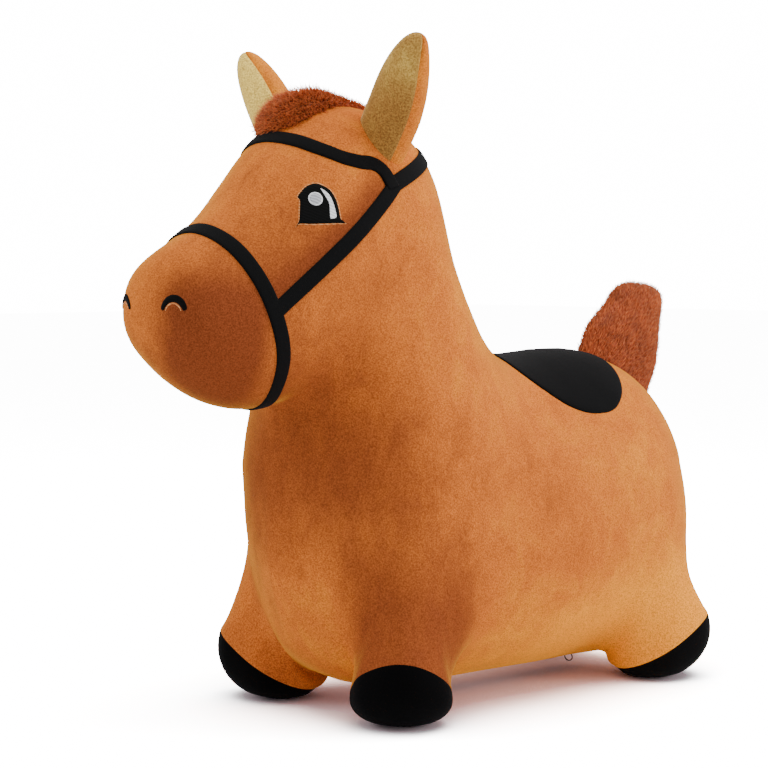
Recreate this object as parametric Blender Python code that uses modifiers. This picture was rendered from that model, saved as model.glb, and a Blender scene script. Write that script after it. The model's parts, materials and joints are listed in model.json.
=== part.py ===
"""Hopping horse for a small child: an air filled bladder in a sewn plush cover.

The horse looks along -Y, its left side is +X, and it stands on four soft hooves at z = 0.
"""
import math

import bmesh
import bpy
from mathutils import Matrix, Vector
from mathutils.bvhtree import BVHTree

for old in list(bpy.data.objects):
    bpy.data.objects.remove(old)

# Driving sizes of the whole horse, in metres
body_length = 0.640
body_width = 0.246
poll_height = 0.500

# Cover, bladder and fits
cover_depth = 0.003
bladder_depth = 0.001
seam_gap = 0.0003
flat_cut = 0.0005
cut_overrun = 0.020
weld_distance = 0.00003

# Side outline of the form: each section runs from a point on the back to one on the belly.
# Shares of length and height: back along, back up, belly along, belly up; of width: how wide.
section_shares = (
    (0.444, 0.400, 0.444, 0.200, 0.34),
    (0.417, 0.520, 0.419, 0.095, 0.60),
    (0.345, 0.584, 0.369, 0.035, 0.84),
    (0.251, 0.608, 0.254, 0.035, 0.95),
    (0.153, 0.594, 0.153, 0.035, 0.97),
    (0.089, 0.598, 0.044, 0.035, 0.96),
    (0.055, 0.630, -0.081, 0.035, 0.95),
    (0.025, 0.690, -0.204, 0.055, 0.94),
    (0.001, 0.750, -0.264, 0.210, 0.91),
    (-0.017, 0.810, -0.270, 0.370, 0.79),
    (-0.024, 0.880, -0.253, 0.475, 0.71),
    (-0.043, 0.965, -0.261, 0.530, 0.68),
    (-0.111, 1.022, -0.277, 0.535, 0.67),
    (-0.209, 1.034, -0.295, 0.530, 0.65),
    (-0.285, 0.966, -0.314, 0.526, 0.60),
    (-0.356, 0.850, -0.339, 0.524, 0.55),
    (-0.408, 0.803, -0.380, 0.535, 0.51),
    (-0.459, 0.772, -0.425, 0.580, 0.44),
    (-0.474, 0.726, -0.456, 0.634, 0.28),
)
rump_shares = (0.453, 0.300)
nose_shares = (-0.479, 0.682)
fan_turns = [math.radians(turn) for turn in (0, 35, 68, 98, 124, 158, 180)]
low_swell_share = 0.06
neck_section = 9
head_section = 11
muzzle_section = 15
smooth_levels = 1

# Legs grow out of two bays of sections low on the flank; a level is a ring of eight points
hoof_radius = 0.044
leg_height = 0.085
leg_fan = (3, 5)
leg_bays = {"front": 6, "hind": 1}
hoof_shares = {"front": (0.715, -0.175), "hind": (0.715, 0.341)}
# Shares of leg height: up on the inside, up on the outside; of hoof radius: radius, tucked in
leg_level_shares = (
    (0.12, 1.26, 0.80, 0.44),
    (0.09, 0.73, 1.01, 0.00),
    (0.05, 0.30, 0.93, 0.00),
    (0.00, 0.00, 0.54, 0.20),
)
leg_rise_power = 1.6
leg_turns = [math.radians(turn) for turn in (-45, -90, -135, 180, 135, 90, 45, 0)]

# Bridle ribbon; places on the side outline are shares of length and height
ribbon_width = 0.013
ribbon_depth = 0.0012
noseband_shares = ((-0.419, 0.880), (-0.293, 0.480))
headstall_shares = ((-0.356, 0.680), (-0.162, 0.887), (0.009, 0.976))
browband_shares = ((-0.176, 0.872), (-0.186, 0.912), (-0.233, 0.924), (-0.262, 0.943), (-0.300, 0.988))

# Saddle patch
seat_length = 0.148
seat_width = 0.182
seat_fullness = 2.35
seat_depth = 0.0015
seat_share = 0.192

# Fur on the head and neck
fur_depth = 0.010
forelock_width = 0.062
forelock_shares = (-0.261, -0.084)
head_low_share = 0.90
head_high_share = 1.15
mane_width = 0.036
mane_shares = (-0.091, 0.139)
mane_up_shares = (0.720, 0.906)

# Eyes and nostrils, embroidered
stitch_depth = 0.0008
eye_width = 0.0415
eye_height = 0.037
eye_shares = (-0.283, 0.850)
eye_outline_shares = (
    (-0.50, -0.50), (-0.38, -0.46), (0.36, -0.46), (0.50, -0.52), (0.42, -0.30),
    (0.36, 0.05), (0.24, 0.34), (0.06, 0.48), (-0.12, 0.50), (-0.30, 0.36),
    (-0.40, 0.10), (-0.43, -0.25),
)
glint_radius = 0.0062
glint_shares = (-0.05, 0.12)
crescent_shares = (
    (0.14, 0.34), (0.24, 0.20), (0.30, 0.00), (0.33, -0.30), (0.24, -0.36),
    (0.22, -0.10), (0.18, 0.12),
)
nostril_radius = 0.0125
nostril_width = 0.0036
nostril_shares = (0.258, 0.678)
nostril_span = math.radians(145)

# Ears, sewn of a back and a front around a filling, rocking on their seam
ear_length = 0.103
ear_width = 0.054
ear_thickness = 0.040
ear_skin = 0.0018
ear_lean = math.radians(35)
ear_turn = math.radians(12)
ear_rocker = 0.012
ear_shares = (0.440, -0.178)
ear_split_share = 0.19
ear_socket_share = 0.6
ear_level_shares = (
    (-0.50, 0.98, 1.02), (0.06, 1.02, 1.02), (0.34, 1.00, 0.98), (0.60, 0.83, 0.86),
    (0.82, 0.60, 0.66), (0.97, 0.27, 0.36),
)
ear_room_shares = ear_level_shares[:-1]

rocker_shares = (1.0, 0.71, 0.43, 0.14, -0.14, -0.43, -0.71, -1.0)
rocker_spread_shares = (-0.15, 0.0, 0.15)
rocker_turns = [math.radians(turn) for turn in range(-60, 61, 10)]

# Tail, a stuffed fur paddle rocking on its seam
tail_length = 0.0915
tail_width = 0.104
tail_thickness = 0.042
tail_fur = 0.007
tail_lean = math.radians(26)
tail_slant = 0.30
tail_rocker = 0.026
tail_socket_share = 0.75
tail_margin = 0.0015
tail_share = 0.377
tail_level_shares = (
    (-0.90, 1.00, 0.90), (0.02, 0.99, 0.98), (0.32, 0.81, 0.98), (0.66, 0.68, 0.92),
    (0.92, 0.58, 0.78), (1.02, 0.42, 0.50),
)
tail_room_shares = tail_level_shares[:-1]

# Zip along the belly
zip_length = 0.180
zip_share = 0.301
slot_width = 0.020
coil_width = 0.0024
coil_height = 0.0016
coil_inset = 0.0008
tape_depth = 0.0006
stop_length = 0.003
stop_height = 0.0024
slider_length = 0.011
slider_width = 0.010
slider_plate = 0.0012
slider_flange = 0.0006
bail_wire = 0.0010
bail_length = 0.007
pull_wire = 0.0012
pull_width = 0.0095
pull_height = 0.0075
pull_clearance = 0.0004

# Valve in a recess of the bladder, above the zip
valve_share = 0.139
recess_radius = 0.014
recess_depth = 0.016
valve_radius = 0.0090
valve_flange = 0.0020
valve_tube_radius = 0.0055
valve_tube_length = 0.010
valve_bore_radius = 0.0036
plug_head_radius = 0.0072
plug_head_depth = 0.0020
plug_stem_length = 0.0090

# Round forms and bevels
stuffed_sides = 8
turn_steps = 16
edge_round = 0.0003
far = 2 * body_length
ring_swell = 6 / (4 + 2 * math.cos(math.pi / (len(fan_turns) - 1)))
leg_swell = 6 / (4 + 2 * math.cos(math.tau / len(leg_turns)))
stuffed_swell = 6 / (4 + 2 * math.cos(math.tau / stuffed_sides))

horse = bpy.data.collections.new("hopping_horse")
cutters = bpy.data.collections.new("cutters")
for group in (horse, cutters):
    bpy.context.scene.collection.children.link(group)


def paint(name, colour, roughness):
    material = bpy.data.materials.new(name)
    material.use_nodes = True
    surface = material.node_tree.nodes["Principled BSDF"]
    surface.inputs["Base Color"].default_value = (*colour, 1)
    surface.inputs["Roughness"].default_value = roughness
    return material


orange_plush = (0.62, 0.24, 0.05)
black_plush = (0.010, 0.010, 0.011)
khaki_plush = (0.36, 0.22, 0.06)
russet_fur = (0.24, 0.065, 0.02)
black_ribbon = (0.008, 0.008, 0.009)
white_thread = (0.70, 0.70, 0.72)
grey_thread = (0.30, 0.30, 0.32)
cotton_filling = (0.80, 0.79, 0.76)
clear_vinyl = (0.75, 0.72, 0.62)
dark_metal = (0.05, 0.05, 0.055)


def outline_point(shares):
    return Vector((0, shares[0] * body_length, shares[1] * poll_height))


def add_piece(name, mesh, group=horse, holder=None):
    piece = bpy.data.objects.new(name, mesh)
    group.objects.link(piece)
    if holder:
        piece.parent = holder
    if group is cutters:
        piece.hide_render = True
        piece.display_type = "WIRE"
    return piece


def finish(piece, colour, roughness=0.9):
    piece.data.materials.clear()
    piece.data.materials.append(paint(piece.name, colour, roughness))
    piece.data.shade_smooth()
    piece.data.set_sharp_from_angle(angle=math.radians(40))
    return piece


def combine(piece, tool, operation="DIFFERENCE", folded=False):
    step = piece.modifiers.new(tool.name, "BOOLEAN")
    step.operation = operation
    step.object = tool
    step.solver = "EXACT"
    step.use_self = folded


def evaluated_mesh(piece):
    depsgraph = bpy.context.evaluated_depsgraph_get()
    return bpy.data.meshes.new_from_object(piece.evaluated_get(depsgraph))


def section_points(row):
    """Left half of one section, fanned from its back point to its belly point."""
    back = outline_point(row[:2])
    belly = outline_point(row[2:4])
    reach = (back - belly) / 2
    points = []
    for turn in fan_turns:
        side = math.sin(turn) * row[4] * body_width / 2
        if turn > math.pi / 2:
            side *= 1 - low_swell_share * math.sin(2 * turn)
        point = (back + belly) / 2 + reach * math.cos(turn) * ring_swell
        point.x = side * ring_swell
        points.append(point)
    return points


def region_of(station):
    if station < neck_section:
        return "torso"
    if station < head_section:
        return "neck"
    if station < muzzle_section:
        return "head"
    return "muzzle"


regions = ["torso", "neck", "head", "muzzle", "front_leg", "hind_leg", "front_hoof", "hind_hoof"]


def close_end(cage, ring, tip_shares, region):
    tip = cage.verts.new(outline_point(tip_shares))
    for fan in range(0, len(ring) - 1, 2):
        cap = cage.faces.new((tip, ring[fan], ring[fan + 1], ring[fan + 2]))
        cap.material_index = regions.index(region)


def grow_leg(cage, rings, place):
    """Four levels of eight points below the flank, the hoof's seam on the second."""
    first = leg_bays[place]
    low, high = leg_fan
    middle = low + 1
    loop = [rings[first + 2][low], rings[first + 2][middle], rings[first + 2][high],
            rings[first + 1][high], rings[first][high], rings[first][middle],
            rings[first][low], rings[first + 1][low]]
    out_share, along_share = hoof_shares[place]
    centre = Vector((out_share * body_width / 2, along_share * body_length, -flat_cut))
    outward = Vector((1, math.copysign(1, along_share), 0)).normalized()
    for level, (inside, outside, radius, tuck) in enumerate(leg_level_shares):
        middle_point = centre - outward * tuck * hoof_radius
        ring = []
        for turn in leg_turns:
            way = Vector((math.cos(turn), math.sin(turn), 0))
            point = middle_point + way * radius * hoof_radius * leg_swell
            rise = ((1 + way.dot(outward)) / 2) ** leg_rise_power
            point.z += leg_height * (inside + (outside - inside) * rise)
            ring.append(cage.verts.new(point))
        region = place + ("_leg" if level < 2 else "_hoof")
        for step in range(len(ring)):
            after = (step + 1) % len(ring)
            side = cage.faces.new((loop[step], loop[after], ring[after], ring[step]))
            side.material_index = regions.index(region)
        loop = ring
    sole = cage.verts.new(middle_point)
    for step in range(0, len(loop), 2):
        after = (step + 1) % len(loop)
        cap = cage.faces.new((sole, loop[step - 1], loop[step], loop[after]))
        cap.material_index = regions.index(region)


def make_form():
    """Coarse left half of the whole animal, mirrored and smoothed."""
    cage = bmesh.new()
    rings = [[cage.verts.new(point) for point in section_points(row)] for row in section_shares]
    leg_faces = {(bay + step, fan) for bay in leg_bays.values() for step in (0, 1)
                 for fan in range(*leg_fan)}
    for station in range(len(rings) - 1):
        near, beyond = rings[station], rings[station + 1]
        for fan in range(len(fan_turns) - 1):
            if (station, fan) not in leg_faces:
                bay = cage.faces.new((near[fan], near[fan + 1], beyond[fan + 1], beyond[fan]))
                bay.material_index = regions.index(region_of(station))
    close_end(cage, rings[0], rump_shares, "torso")
    close_end(cage, rings[-1], nose_shares, "muzzle")
    for place in leg_bays:
        grow_leg(cage, rings, place)
    bmesh.ops.recalc_face_normals(cage, faces=cage.faces)
    mesh = bpy.data.meshes.new("form")
    cage.to_mesh(mesh)
    cage.free()
    form = add_piece("form", mesh, cutters)
    mirror = form.modifiers.new("both_sides", "MIRROR")
    mirror.merge_threshold = 0.0001
    smooth = form.modifiers.new("smooth", "SUBSURF")
    smooth.levels = smooth_levels
    smooth.render_levels = smooth_levels
    return form


def make_skin(form):
    """The form's smooth surface in triangles, which every cover, ribbon and patch follows."""
    skin = bmesh.new()
    skin.from_mesh(evaluated_mesh(form))
    bmesh.ops.triangulate(skin, faces=skin.faces)
    skin.normal_update()
    skin.verts.ensure_lookup_table()
    return skin


form = make_form()
skin = make_skin(form)
skin_tree = BVHTree.FromBMesh(skin)


def raised_skin(name, height):
    """Closed surface of the whole form, raised or sunk by a height along its normals."""
    surface = skin.copy()
    for vertex, base in zip(surface.verts, skin.verts):
        vertex.co = base.co + base.normal * height
    for face in surface.faces:
        face.material_index = 0
    mesh = bpy.data.meshes.new(name)
    surface.to_mesh(mesh)
    surface.free()
    return mesh


def make_cover(name, region, side, colour):
    """Wall of one region, as deep as the cover, drawn in by half a seam gap at its edges."""
    index = regions.index(region)
    chosen = [face for face in skin.faces if face.material_index == index
              and face.calc_center_median().x * side >= 0]
    kept = set(chosen)
    wall = bmesh.new()
    outer, inner = {}, {}
    for vertex in {corner for face in chosen for corner in face.verts}:
        point = vertex.co.copy()
        if any(face not in kept for face in vertex.link_faces):
            within = Vector()
            for face in vertex.link_faces:
                if face in kept:
                    within += (face.calc_center_median() - vertex.co).normalized()
            point += within.normalized() * seam_gap / 2
        outer[vertex] = wall.verts.new(point)
        inner[vertex] = wall.verts.new(point - vertex.normal * cover_depth)
    for face in chosen:
        wall.faces.new([outer[corner] for corner in face.verts])
        wall.faces.new([inner[corner] for corner in reversed(face.verts)])
        for loop in face.loops:
            if loop.link_loop_radial_next.face not in kept:
                start, end = loop.vert, loop.link_loop_next.vert
                edge = (outer[end], outer[start], inner[start], inner[end])
                # Both walls at a seam are split along the same diagonal, so they stay parallel
                first = int(start.index < end.index)
                wall.faces.new((edge[first], edge[first + 1], edge[first + 2]))
                wall.faces.new((edge[first], edge[first + 2], edge[first - 1]))
    mesh = bpy.data.meshes.new(name)
    wall.to_mesh(mesh)
    wall.free()
    return finish(add_piece(name, mesh), colour)


def make_box(name, size, centre, group=horse, holder=None, rounding=0.0):
    box = bmesh.new()
    bmesh.ops.create_cube(box, size=1)
    bmesh.ops.scale(box, vec=size, verts=box.verts)
    bmesh.ops.translate(box, vec=centre, verts=box.verts)
    mesh = bpy.data.meshes.new(name)
    box.to_mesh(mesh)
    box.free()
    piece = add_piece(name, mesh, group, holder)
    if rounding:
        bevel = piece.modifiers.new("rounding", "BEVEL")
        bevel.width = rounding
        bevel.segments = 1
    return piece


def make_turned(name, profile, frame, group=horse, holder=None):
    """Screw a closed profile of (radius, height) points about the frame's Z axis."""
    mesh = bpy.data.meshes.new(name)
    points = [(radius, 0, height) for radius, height in profile]
    count = len(points)
    open_profile = profile[0][0] == 0 and profile[-1][0] == 0
    edges = [(step, (step + 1) % count) for step in range(count - 1 if open_profile else count)]
    mesh.from_pydata(points, edges, [])
    piece = add_piece(name, mesh, group, holder)
    piece.matrix_local = frame
    screw = piece.modifiers.new("turning", "SCREW")
    screw.steps = turn_steps
    screw.render_steps = turn_steps
    screw.use_merge_vertices = True
    screw.merge_threshold = 0.0001
    return piece


def make_plate(name, outline, half_depth, frame, group=cutters):
    """Flat outline in the frame's XY plane, extruded both ways along its Z axis."""
    curve = bpy.data.curves.new(name, "CURVE")
    curve.dimensions = "2D"
    curve.fill_mode = "BOTH"
    curve.extrude = half_depth
    spline = curve.splines.new("POLY")
    spline.points.add(len(outline) - 1)
    for point, place in zip(spline.points, outline):
        point.co = (place[0], place[1], 0, 1)
    spline.use_cyclic_u = True
    drawn = bpy.data.objects.new(name + "_outline", curve)
    cutters.objects.link(drawn)
    mesh = evaluated_mesh(drawn)
    bpy.data.objects.remove(drawn)
    welded = bmesh.new()
    welded.from_mesh(mesh)
    bmesh.ops.remove_doubles(welded, verts=welded.verts, dist=weld_distance)
    bmesh.ops.recalc_face_normals(welded, faces=welded.faces)
    welded.to_mesh(mesh)
    welded.free()
    plate = add_piece(name, mesh, group)
    plate.matrix_world = frame
    return plate


def make_stuffed(name, levels, half_width, half_thickness, length, slant, group, holder, smoothed):
    """Tapered soft form of rings of eight points along the holder's Z axis, its tip cut aslant."""
    cage = bmesh.new()
    swell = stuffed_swell if smoothed else 1
    rings = []
    for up, wide, thick in levels:
        ring = []
        for step in range(stuffed_sides):
            turn = math.tau * (step + 0.5) / stuffed_sides
            across = math.cos(turn) * wide * half_width * swell
            ring.append(cage.verts.new((
                across,
                math.sin(turn) * thick * half_thickness * swell,
                up * length + max(up, 0) * slant * across)))
        rings.append(ring)
    for ring, beyond in zip(rings, rings[1:]):
        for step in range(stuffed_sides):
            after = (step + 1) % stuffed_sides
            cage.faces.new((ring[step], ring[after], beyond[after], beyond[step]))
    cage.faces.new(reversed(rings[0]))
    cage.faces.new(rings[-1])
    mesh = bpy.data.meshes.new(name)
    cage.to_mesh(mesh)
    cage.free()
    piece = add_piece(name, mesh, group, holder)
    if smoothed:
        smooth = piece.modifiers.new("smooth", "SUBSURF")
        smooth.levels = smooth_levels
        smooth.render_levels = smooth_levels
    return piece


def frame_of(x_axis, y_axis, z_axis, origin):
    turn = Matrix((x_axis, y_axis, z_axis)).transposed().to_4x4()
    return Matrix.Translation(origin) @ turn


def side_frame():
    """Outlines drawn along the horse and up, extruded from side to side."""
    return frame_of(Vector((0, 1, 0)), Vector((0, 0, 1)), Vector((1, 0, 0)), Vector())


def band_outline(shares, width):
    """Strip of one width along points of the side outline, mitred where it turns."""
    line = [Vector(outline_point(pair).yz) for pair in shares]
    ways = [(end - start).normalized() for start, end in zip(line, line[1:])]
    left, right = [], []
    for index, point in enumerate(line):
        before = ways[max(index - 1, 0)]
        after = ways[min(index, len(ways) - 1)]
        middle = (before + after).normalized()
        normal = Vector((-middle.y, middle.x))
        reach = normal * width / 2 / middle.dot(after)
        left.append(point + reach)
        right.append(point - reach)
    return left + right[::-1]


def lay_on(piece, under, over, colour, roughness=0.9):
    """Keep only the layer of a cutter's shape that lies between two raised skins."""
    combine(piece, over, "INTERSECT")
    combine(piece, under)
    return finish(piece, colour, roughness)


def hit(origin, way):
    place, normal, face, distance = skin_tree.ray_cast(origin, way)
    return place, normal


# Covers
for region, name in (("torso", "torso_cover"), ("neck", "neck_cover"), ("head", "head_cover"),
                     ("muzzle", "muzzle_cover")):
    make_cover(name, region, 0, orange_plush)
sides = {"left": 1, "right": -1}
for place in leg_bays:
    for side, sign in sides.items():
        make_cover(f"leg_cover_{place}_{side}", place + "_leg", sign, orange_plush)
        hoof = make_cover(f"hoof_{place}_{side}", place + "_hoof", sign, black_plush)
        floor_size = Vector((far, far, cut_overrun))
        floor = make_box(f"floor_{place}_{side}", floor_size, Vector((0, 0, -cut_overrun / 2)), cutters)
        combine(hoof, floor)

# Raised skins that ribbons, patches and fur lie between
under_layer = add_piece("under_layer", raised_skin("under_layer", seam_gap), cutters)
ribbon_layer = add_piece("ribbon_layer", raised_skin("ribbon_layer", seam_gap + ribbon_depth), cutters)
stitch_layer = add_piece("stitch_layer", raised_skin("stitch_layer", seam_gap + stitch_depth), cutters)
seat_layer = add_piece("seat_layer", raised_skin("seat_layer", seam_gap + seat_depth), cutters)
fur_layer = add_piece("fur_layer", raised_skin("fur_layer", seam_gap + fur_depth), cutters)

# Bridle
clear_band = ribbon_width + 2 * seam_gap
noseband = make_plate("noseband", band_outline(noseband_shares, ribbon_width), body_width,
                      side_frame(), horse)
lay_on(noseband, under_layer, ribbon_layer, black_ribbon)
noseband_room = make_plate("noseband_room", band_outline(noseband_shares, clear_band), body_width,
                           side_frame())
headstall = make_plate("headstall", band_outline(headstall_shares, ribbon_width), body_width,
                       side_frame(), horse)
lay_on(headstall, under_layer, ribbon_layer, black_ribbon)
combine(headstall, noseband_room)
headstall_room = make_plate("headstall_room", band_outline(headstall_shares, clear_band), body_width,
                            side_frame())
browband = make_plate("browband", band_outline(browband_shares, ribbon_width), body_width,
                      side_frame(), horse)
lay_on(browband, under_layer, ribbon_layer, black_ribbon)
combine(browband, headstall_room)


def ellipse(half_x, half_y, steps=36, fullness=2.0):
    """Oval outline; above 2, its fullness squares the corners a little."""
    turns = [math.tau * step / steps for step in range(steps)]
    ways = [(math.cos(turn), math.sin(turn)) for turn in turns]
    return [tuple(math.copysign(abs(part) ** (2 / fullness) * half, part)
                  for part, half in zip(way, (half_x, half_y))) for way in ways]


# Saddle patch, drawn from above
seat_top = Vector((0, seat_share * body_length, poll_height))
seat_outline = ellipse(seat_width / 2, seat_length / 2, fullness=seat_fullness)
seat = make_plate("seat_patch", seat_outline, poll_height / 2, Matrix.Translation(seat_top), horse)
lay_on(seat, under_layer, seat_layer, black_plush)


def make_block(name, low, high, frame=Matrix(), group=cutters):
    """Straight block between two opposite corners, carried by a frame."""
    size = Vector(abs(end - start) for start, end in zip(low, high))
    block = make_box(name, size, (Vector(low) + Vector(high)) / 2, group)
    block.matrix_world = frame
    return block


# Fur on the poll and down the neck
poll_front, poll_rear = (share * body_length for share in forelock_shares)
forelock = make_block("forelock", (-forelock_width / 2, poll_front, poll_height * head_low_share),
                      (forelock_width / 2, poll_rear, poll_height * head_high_share), group=horse)
lay_on(forelock, under_layer, fur_layer, russet_fur, 1.0)
mane_low, mane_high = (share * poll_height for share in mane_up_shares)
mane = make_block("mane", (-mane_width / 2, mane_shares[0] * body_length, mane_low),
                  (mane_width / 2, mane_shares[1] * body_length, mane_high), group=horse)
lay_on(mane, under_layer, fur_layer, russet_fur, 1.0)


def surface_frame(place, normal):
    """Frame on the skin: Z out of it and Y as far up as the skin allows."""
    up = Vector((0, 0, 1))
    rise = (up - normal * up.dot(normal)).normalized()
    return frame_of(rise.cross(normal), rise, normal, place)


def arc_outline(radius, width, span, steps=14):
    turns = [math.pi / 2 + span * (step / steps - 0.5) for step in range(steps + 1)]
    outer = [(math.cos(turn) * radius, math.sin(turn) * radius) for turn in turns]
    inner = [(x * (1 - width / radius), y * (1 - width / radius)) for x, y in outer]
    return outer + inner[::-1]


def grown(outline, gap):
    """Outline pushed out from its middle by a gap."""
    middle = sum((Vector(point) for point in outline), Vector((0, 0))) / len(outline)
    return [Vector(point) + (Vector(point) - middle).normalized() * gap for point in outline]


def make_eye(side, sign):
    along, up = eye_shares[0] * body_length, eye_shares[1] * poll_height
    place, normal = hit(Vector((sign * far, along, up)), Vector((-sign, 0, 0)))
    frame = surface_frame(place, normal)
    size = Vector((eye_width * sign, eye_height))
    patch = make_plate(f"eye_patch_{side}", [Vector(share) * size for share in eye_outline_shares],
                       eye_width / 2, frame, horse)
    lay_on(patch, under_layer, stitch_layer, black_plush)
    middle = Vector(glint_shares) * size
    ring = [Vector(point) + middle for point in ellipse(glint_radius, glint_radius, turn_steps)]
    crescent = [Vector(share) * size for share in crescent_shares]
    for name, outline, colour in ((f"eye_highlight_{side}", ring, grey_thread),
                                  (f"eye_crescent_{side}", crescent, white_thread)):
        room = make_plate(name + "_room", grown(outline, seam_gap), eye_width / 2, frame)
        combine(patch, room)
        inlay = make_plate(name, outline, eye_width / 2, frame, horse)
        lay_on(inlay, under_layer, stitch_layer, colour)


def make_nostril(side, sign):
    out, up = nostril_shares[0] * body_width / 2, nostril_shares[1] * poll_height
    place, normal = hit(Vector((sign * out, -far, up)), Vector((0, 1, 0)))
    nostril = make_plate(f"nostril_{side}", arc_outline(nostril_radius, nostril_width, nostril_span),
                         nostril_radius, surface_frame(place, normal), horse)
    lay_on(nostril, under_layer, stitch_layer, black_ribbon)


for side, sign in sides.items():
    make_eye(side, sign)
    make_nostril(side, sign)


def make_pivot(name, frame):
    pivot = bpy.data.objects.new(name, None)
    horse.objects.link(pivot)
    pivot.matrix_world = frame
    return pivot


def make_socket(name, pivot, half_reach, depth):
    """Cutter that leaves a stuffed piece a rounded foot, turned about its hinge on the skin."""
    frame = pivot.matrix_world
    tilt = frame.to_3x3()
    profile = [(0, half_reach)]
    for share in rocker_shares:
        nearest = depth
        for spread in rocker_spread_shares:
            origin = frame @ Vector(((share + spread) * half_reach, 0, 0))
            for turn in rocker_turns:
                way = tilt @ Vector((0, math.sin(turn), -math.cos(turn)))
                place, normal = hit(origin, way)
                if place:
                    nearest = min(nearest, (place - origin).length)
        profile.append((nearest - seam_gap, share * half_reach))
    profile.append((0, -half_reach))
    along = frame_of(Vector((0, 0, -1)), Vector((0, 1, 0)), Vector((1, 0, 0)), Vector())
    half_step = Matrix.Rotation(math.pi / turn_steps, 4, "Z")
    spool = make_turned(name + "_spool", profile, along @ half_step, cutters, pivot)
    reach = half_reach + cut_overrun
    socket = make_box(name, Vector((2 * reach, 2 * reach, depth)), Vector((0, 0, -depth / 2)),
                      cutters, pivot)
    combine(socket, spool)
    return socket


def make_ear(side, sign):
    out, along = ear_shares[0] * body_width / 2, ear_shares[1] * body_length
    place, normal = hit(Vector((sign * out, along, far)), Vector((0, 0, -1)))
    rise = Vector((sign * math.sin(ear_lean), 0, math.cos(ear_lean)))
    back = Vector((0, 1, 0))
    stand = frame_of(back.cross(rise), back, rise, place + rise * (ear_rocker + seam_gap))
    pivot = make_pivot(f"ear_{side}_hinge", stand @ Matrix.Rotation(sign * ear_turn, 4, "Z"))
    socket = make_socket(f"ear_{side}_socket", pivot, ear_width * ear_socket_share, ear_length / 2)
    ear_rise = ear_length - ear_rocker
    shape = (ear_level_shares, ear_width / 2, ear_thickness / 2, ear_rise, 0)
    room = make_stuffed(f"ear_{side}_room", ear_room_shares, ear_width / 2 - ear_skin,
                        ear_thickness / 2 - ear_skin, ear_rise - ear_skin, 0, cutters, pivot, False)
    for name, colour, way in (("front", khaki_plush, 1), ("back", orange_plush, -1)):
        ear_side = make_stuffed(f"ear_{name}_{side}", *shape, horse, pivot, True)
        combine(ear_side, socket)
        combine(ear_side, room)
        reach = ear_length + cut_overrun
        other = make_box(f"ear_{name}_{side}_other", Vector((reach, reach, 2 * reach)),
                         Vector((0, way * (reach - seam_gap) / 2 - ear_thickness * ear_split_share, 0)),
                         cutters, pivot)
        combine(ear_side, other)
        finish(ear_side, colour)
    fill = ear_skin + seam_gap
    filling = make_stuffed(f"ear_stuffing_{side}", ear_room_shares, ear_width / 2 - fill,
                           ear_thickness / 2 - fill, ear_rise - fill, 0, horse, pivot, False)
    combine(filling, socket)
    finish(filling, cotton_filling, 1.0)
    return pivot


def make_tail():
    place, normal = hit(Vector((0, tail_share * body_length, far)), Vector((0, 0, -1)))
    normal.x = 0
    normal.normalize()
    rise = Vector((0, math.sin(tail_lean), math.cos(tail_lean)))
    along = Vector((0, rise.z, -rise.y))
    pivot = make_pivot("tail_hinge", frame_of(along, rise.cross(along), rise,
                                              place + normal * (tail_rocker + seam_gap)))
    socket = make_socket("tail_socket", pivot, tail_width * tail_socket_share, tail_length)
    shape = (tail_level_shares, tail_width / 2, tail_thickness / 2, tail_length - tail_rocker,
             tail_slant)
    cover = make_stuffed("tail_fur_cover", *shape, horse, pivot, True)
    room = make_stuffed("tail_room", tail_room_shares, tail_width / 2 - tail_fur,
                        tail_thickness / 2 - tail_fur, tail_length - tail_rocker - tail_fur,
                        tail_slant, cutters, pivot, False)
    combine(cover, socket)
    combine(cover, room)
    finish(cover, russet_fur, 1.0)
    fill = tail_fur + seam_gap
    filling = make_stuffed("tail_stuffing", tail_room_shares, tail_width / 2 - fill,
                           tail_thickness / 2 - fill, tail_length - tail_rocker - fill,
                           tail_slant, horse, pivot, False)
    combine(filling, socket)
    finish(filling, cotton_filling, 1.0)
    return pivot


ear_pivots = {side: make_ear(side, sign) for side, sign in sides.items()}
tail_pivot = make_tail()
notch = ellipse(tail_width / 2 + tail_margin, tail_thickness / 2 + tail_margin)
combine(seat, make_plate("tail_notch", notch, tail_length, tail_pivot.matrix_world))

# Zip: heights are measured from the cover's outside at the middle of the belly
zip_rear = zip_share * body_length
zip_front = zip_rear - zip_length
belly = hit(Vector((0, (zip_rear + zip_front) / 2, -far)), Vector((0, 0, 1)))[0].z
slot = make_block("zip_slot", (-slot_width / 2, zip_front, belly - cut_overrun),
                  (slot_width / 2, zip_rear, belly + cut_overrun))
combine(bpy.data.objects["torso_cover"], slot)
coil_low = belly + coil_inset
coil_middle = coil_low + coil_height / 2
coil_edge = seam_gap / 2 + coil_width
coil_front = zip_front + stop_length + 2 * seam_gap
coil_rear = zip_rear - stop_length - 2 * seam_gap
for side, sign in sides.items():
    coil = make_block(f"zip_coil_{side}", (sign * coil_edge, coil_front, coil_low),
                      (sign * seam_gap / 2, coil_rear, coil_low + coil_height), group=horse)
    finish(coil, black_ribbon, 0.4)
    tape = make_block(f"zip_tape_{side}",
                      (sign * (coil_edge + seam_gap), zip_front + seam_gap, coil_middle - tape_depth / 2),
                      (sign * (slot_width / 2 - seam_gap), zip_rear - seam_gap,
                       coil_middle + tape_depth / 2), group=horse)
    finish(tape, black_ribbon)
for name, start in (("zip_stop_front", zip_front + seam_gap),
                    ("zip_stop_rear", zip_rear - seam_gap - stop_length)):
    stop = make_block(name, (-coil_edge, start, coil_middle - stop_height / 2),
                      (coil_edge, start + stop_length, coil_middle + stop_height / 2), group=horse)
    finish(stop, dark_metal, 0.35)


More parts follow.
